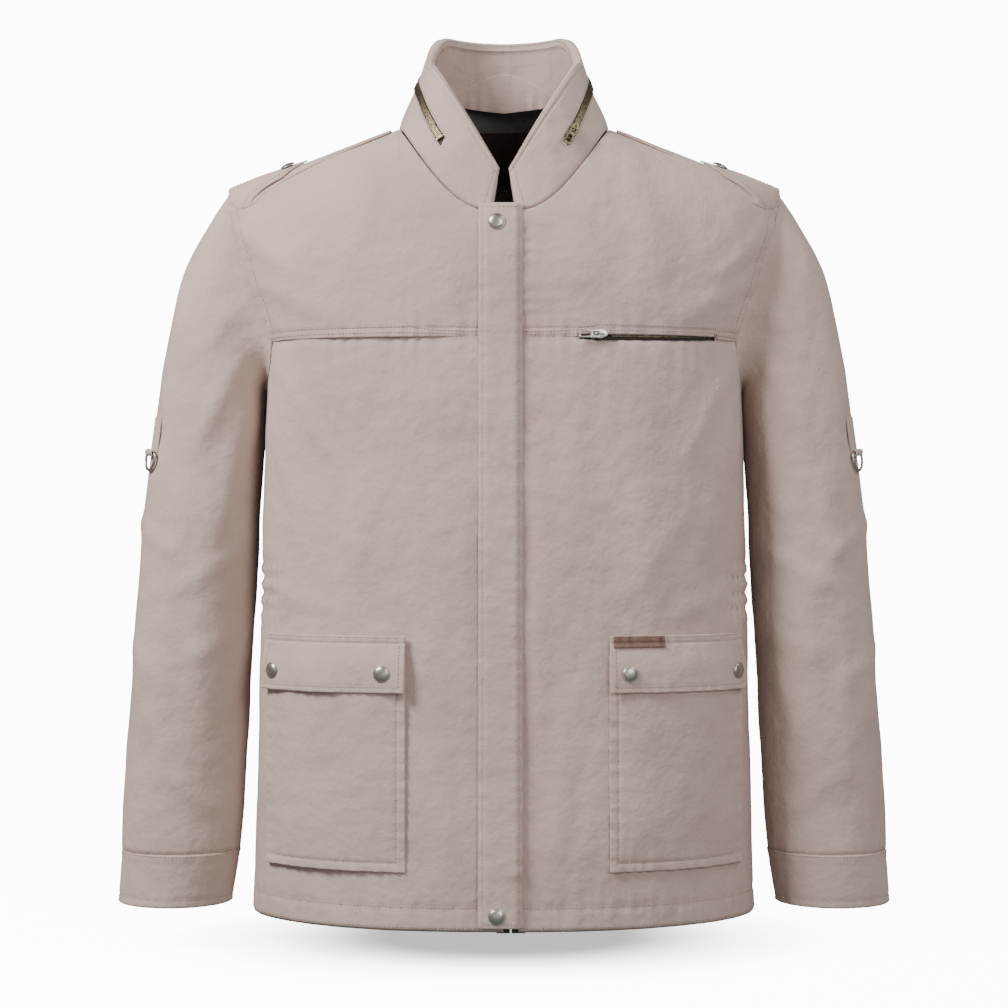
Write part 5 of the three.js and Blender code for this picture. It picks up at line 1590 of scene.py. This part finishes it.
rest = COLLAR_ZIP_END + math.radians(6)
spot = np.array([rest])
raised = collar_zip_relief(spot, 0, collar_zip(spot, 0 * spot), 0, 0)
seat = stand(collar_zip, collar_core, rest, 0, 1.6 * MM + float(np.ravel(raised)[0]))
slider_and_pull("collar_zip", seat, "collar_slider", "collar_pull", BRASS, "aged_brass")
for k, turn in enumerate((COLLAR_ZIP_END + 0.03, 2 * math.pi - COLLAR_ZIP_END - 0.03)):
    stop = slab(round_box(-1.2, 1.2, -3.6, 3.6, 0.6), 0, 2.2, 0.3)
    seat = stand(collar_zip, collar_core, turn, 0, 1.3 * MM)
    fitting(f"collar_stop_{k}", *stop, seat, BRASS, "shell", (), "aged_brass")
for offset in (-6.4 * MM, 6.4 * MM):
    u = np.linspace(COLLAR_ZIP_END, 2 * math.pi - COLLAR_ZIP_END, 900)
    sew("shell", on(collar_zip, collar_core, u, offset, 0.65 * MM, collar_zip_relief))

ZIP_DROP = -0.1985
xs = spaced(CHEST_ZIP[0] - 0.004, CHEST_ZIP[1], 4 * MM, 0.6 * MM)
soft_sheet(
    "chest_tape", front, trunk_core, xs, spaced(ZIP_DROP - 8 * MM, ZIP_DROP + 8 * MM, 3 * MM, 0.6 * MM),
    -4.2 * MM, -3.4 * MM, TAPE, "shell", ("chest_zip_tape",),
)
xs, zs = spaced(0.066, 0.178, 6 * MM, 1 * MM), spaced(-0.327, -0.207, 6 * MM, 1 * MM)
soft_sheet(
    "chest_bag", front, trunk_core, xs, zs, -5.3 * MM, -3.1 * MM, LINING, "shell",
    ("chest_pocket_bag",),
)
xs = np.linspace(0.096, 0.191, 500)
for half, name in ((-1, "chest_teeth_low"), (1, "chest_teeth_high")):
    tooth_row(front, trunk_core, xs, ZIP_DROP + half * 1.3 * MM, -2.6 * MM, name, (0.9, 2.0, 1.1))
seat = stand(front, trunk_core, 0.085, ZIP_DROP, GAP)
slider_and_pull("chest_zip", seat, "chest_slider", "chest_pull", NICKEL, "nickel")
stop = slab(round_box(-1.3, 1.3, -2.4, 2.4, 0.7), 0, 2.6, 0.4)
seat = stand(front, trunk_core, 0.1925, ZIP_DROP, -1.6 * MM)
fitting("chest_stop", *stop, seat, NICKEL, "shell", (), "nickel")
ZIP_SLOPE = (HEM_DEPTH - CHEST_DEPTH) / (CHEST - HEM)


def main_zip(u, v):
    """The flat zip under the storm flap: u is x and v is z, which leans with the front."""
    u, v = np.broadcast_arrays(np.asarray(u, float), np.asarray(v, float))
    y = -CHEST_DEPTH + ZIP_SLOPE * (v - CHEST) + 4.8 * MM
    return np.stack([u, y, v], -1)


def upright(u, v):
    return main_zip(v, u)


def behind(p, u, v):
    return p + np.array([0, 1, 0])


zs = spaced(-0.7335, -0.084, 8 * MM, 0.6 * MM)
for side, sign in SIDE.items():
    inner, outer = ZIP_X + sign * 0.8 * MM, ZIP_X + sign * 12.8 * MM
    soft_sheet(
        f"{side}_main_tape", main_zip, behind, spaced(inner, outer, 3 * MM, 0.6 * MM), zs, -1.2 * MM, 0.0,
        TAPE, "shell", (f"{side}_zip_tape",),
    )
    name, x = f"{side}_main_teeth", ZIP_X + sign * 1.5 * MM
    tooth_row(upright, behind, np.linspace(-0.731, -0.098, 900), x, 0.5 * MM, name, (1.3, 2.6, 1.3))
up = Vector((0, ZIP_SLOPE, 1)).normalized()
out = Vector((0, -1, ZIP_SLOPE)).normalized()
at = Vector(main_zip(np.array([ZIP_X]), np.array([-0.094]))[0]) + out * GAP
main_frame = Matrix((up, out.cross(up), out)).transposed().to_4x4()
main_frame.translation = at
slider_and_pull("main_zip", main_frame, "main_slider", "main_pull", BRASS, "aged_brass")
print("zips made")

# %% [markdown]
# ## Ring tabs, D rings and waist elastic

# %%
# Ring tabs and rings
EYE, TAB_LENGTH, TAB_WIDTH = 3.0 * MM, 0.034, 0.016
BOW_WIDTH, BAR_DROP = 10.6, 6.0
STITCH_SIZE = (2.6 * MM, 0.8 * MM, 0.6 * MM)


def bow(t):
    """The path of a D ring: squared corners at its straight bar, a half circle below."""
    x, y = math.cos(t), math.sin(t)
    if y > 0:
        return BOW_WIDTH * math.copysign(abs(x) ** 0.5, x), BAR_DROP * y ** 0.5 - BAR_DROP, 0
    return BOW_WIDTH * x, BOW_WIDTH * y - BAR_DROP, 0


BOW = [bow(t) for t in np.linspace(0, 2 * math.pi, 64, endpoint=False)]

for side, sign in SIDE.items():
    fn, core, relief = SLEEVES[side]
    seat = stand(fn, core, RING_TURN, RING_ALONG, 4.5 * MM)
    out = seat.col[2].to_3d()
    down = Vector((fn(np.array([RING_TURN]), np.array([RING_ALONG + 0.001])) - fn(
        np.array([RING_TURN]), np.array([RING_ALONG])))[0])
    up = -(down - out * down.dot(out)).normalized()
    bar = up.cross(out)
    origin = seat.translation

    def tab_path(s):
        """Down the flat strap, then round the ring's bar: offsets away from and up the sleeve."""
        turn = np.clip((s - TAB_LENGTH) / EYE, 0, 1.45 * math.pi)
        away = np.where(s < TAB_LENGTH, -EYE, -EYE * np.cos(turn))
        rise = np.where(s < TAB_LENGTH, TAB_LENGTH - s, -EYE * np.sin(turn))
        return away, rise

    def tab(s, w):
        away, rise = tab_path(s)
        return (np.array(origin) + away[..., None] * np.array(out) + rise[..., None] * np.array(up)
                + w[..., None] * np.array(bar))

    def tab_core(p, s, w):
        flat = p + np.array(out)
        eye = np.array(origin) + w[..., None] * np.array(bar)
        return np.where((s < TAB_LENGTH)[..., None], flat, eye)

    flat_rows = spaced(0, TAB_LENGTH, 2.5 * MM, 0.8 * MM)
    eye_rows = TAB_LENGTH + np.linspace(0.06, 1.45, 18) * math.pi * EYE
    s_rows = np.concatenate([flat_rows, eye_rows])
    widths = spaced(-TAB_WIDTH / 2, TAB_WIDTH / 2, 2 * MM, 0.7 * MM)
    soft_sheet(
        f"{side}_tab_loop", tab, tab_core, s_rows, widths,
        -0.8 * MM, 0.6 * MM, SHELL, f"{side}_arm", (f"{side}_ring_tab",),
    )
    frame_matrix = Matrix((bar, up, out)).transposed().to_4x4()
    frame_matrix.translation = origin
    wire = tube(BOW, 1.35, 12)
    fitting(f"{side}_ring_wire", *wire, frame_matrix, NICKEL, f"{side}_d_ring", (f"{side}_ring",), "nickel")

    def waist(u, v, sign=sign):
        width, depth, square = section(v)
        x = sign * width * shaped(np.cos(u), square)
        return np.stack([x, depth * shaped(np.sin(u), square), v + 0 * u], -1)

    turns_u, zs = spaced(-0.5, 0.5, 0.02, 0.01), spaced(-0.452, -0.407, 4 * MM, 1 * MM)
    soft_sheet(
        f"{side}_elastic", waist, trunk_core, turns_u, zs, -5.4 * MM, -3.6 * MM, ELASTIC, "shell",
        (f"{side}_waist_elastic",),
    )

# %% [markdown]
# ## Sewing it all together
# Every row of stitches is made here, one mesh for each body that it rides on.

for body_name, (points, turns) in stitch_rows.items():
    name = f"{body_name}_stitches"
    repeat(name, "stitch", points, turns, STITCH_SIZE, THREAD, body_name)
print("stitches", sum(len(points) for points, _ in stitch_rows.values()))
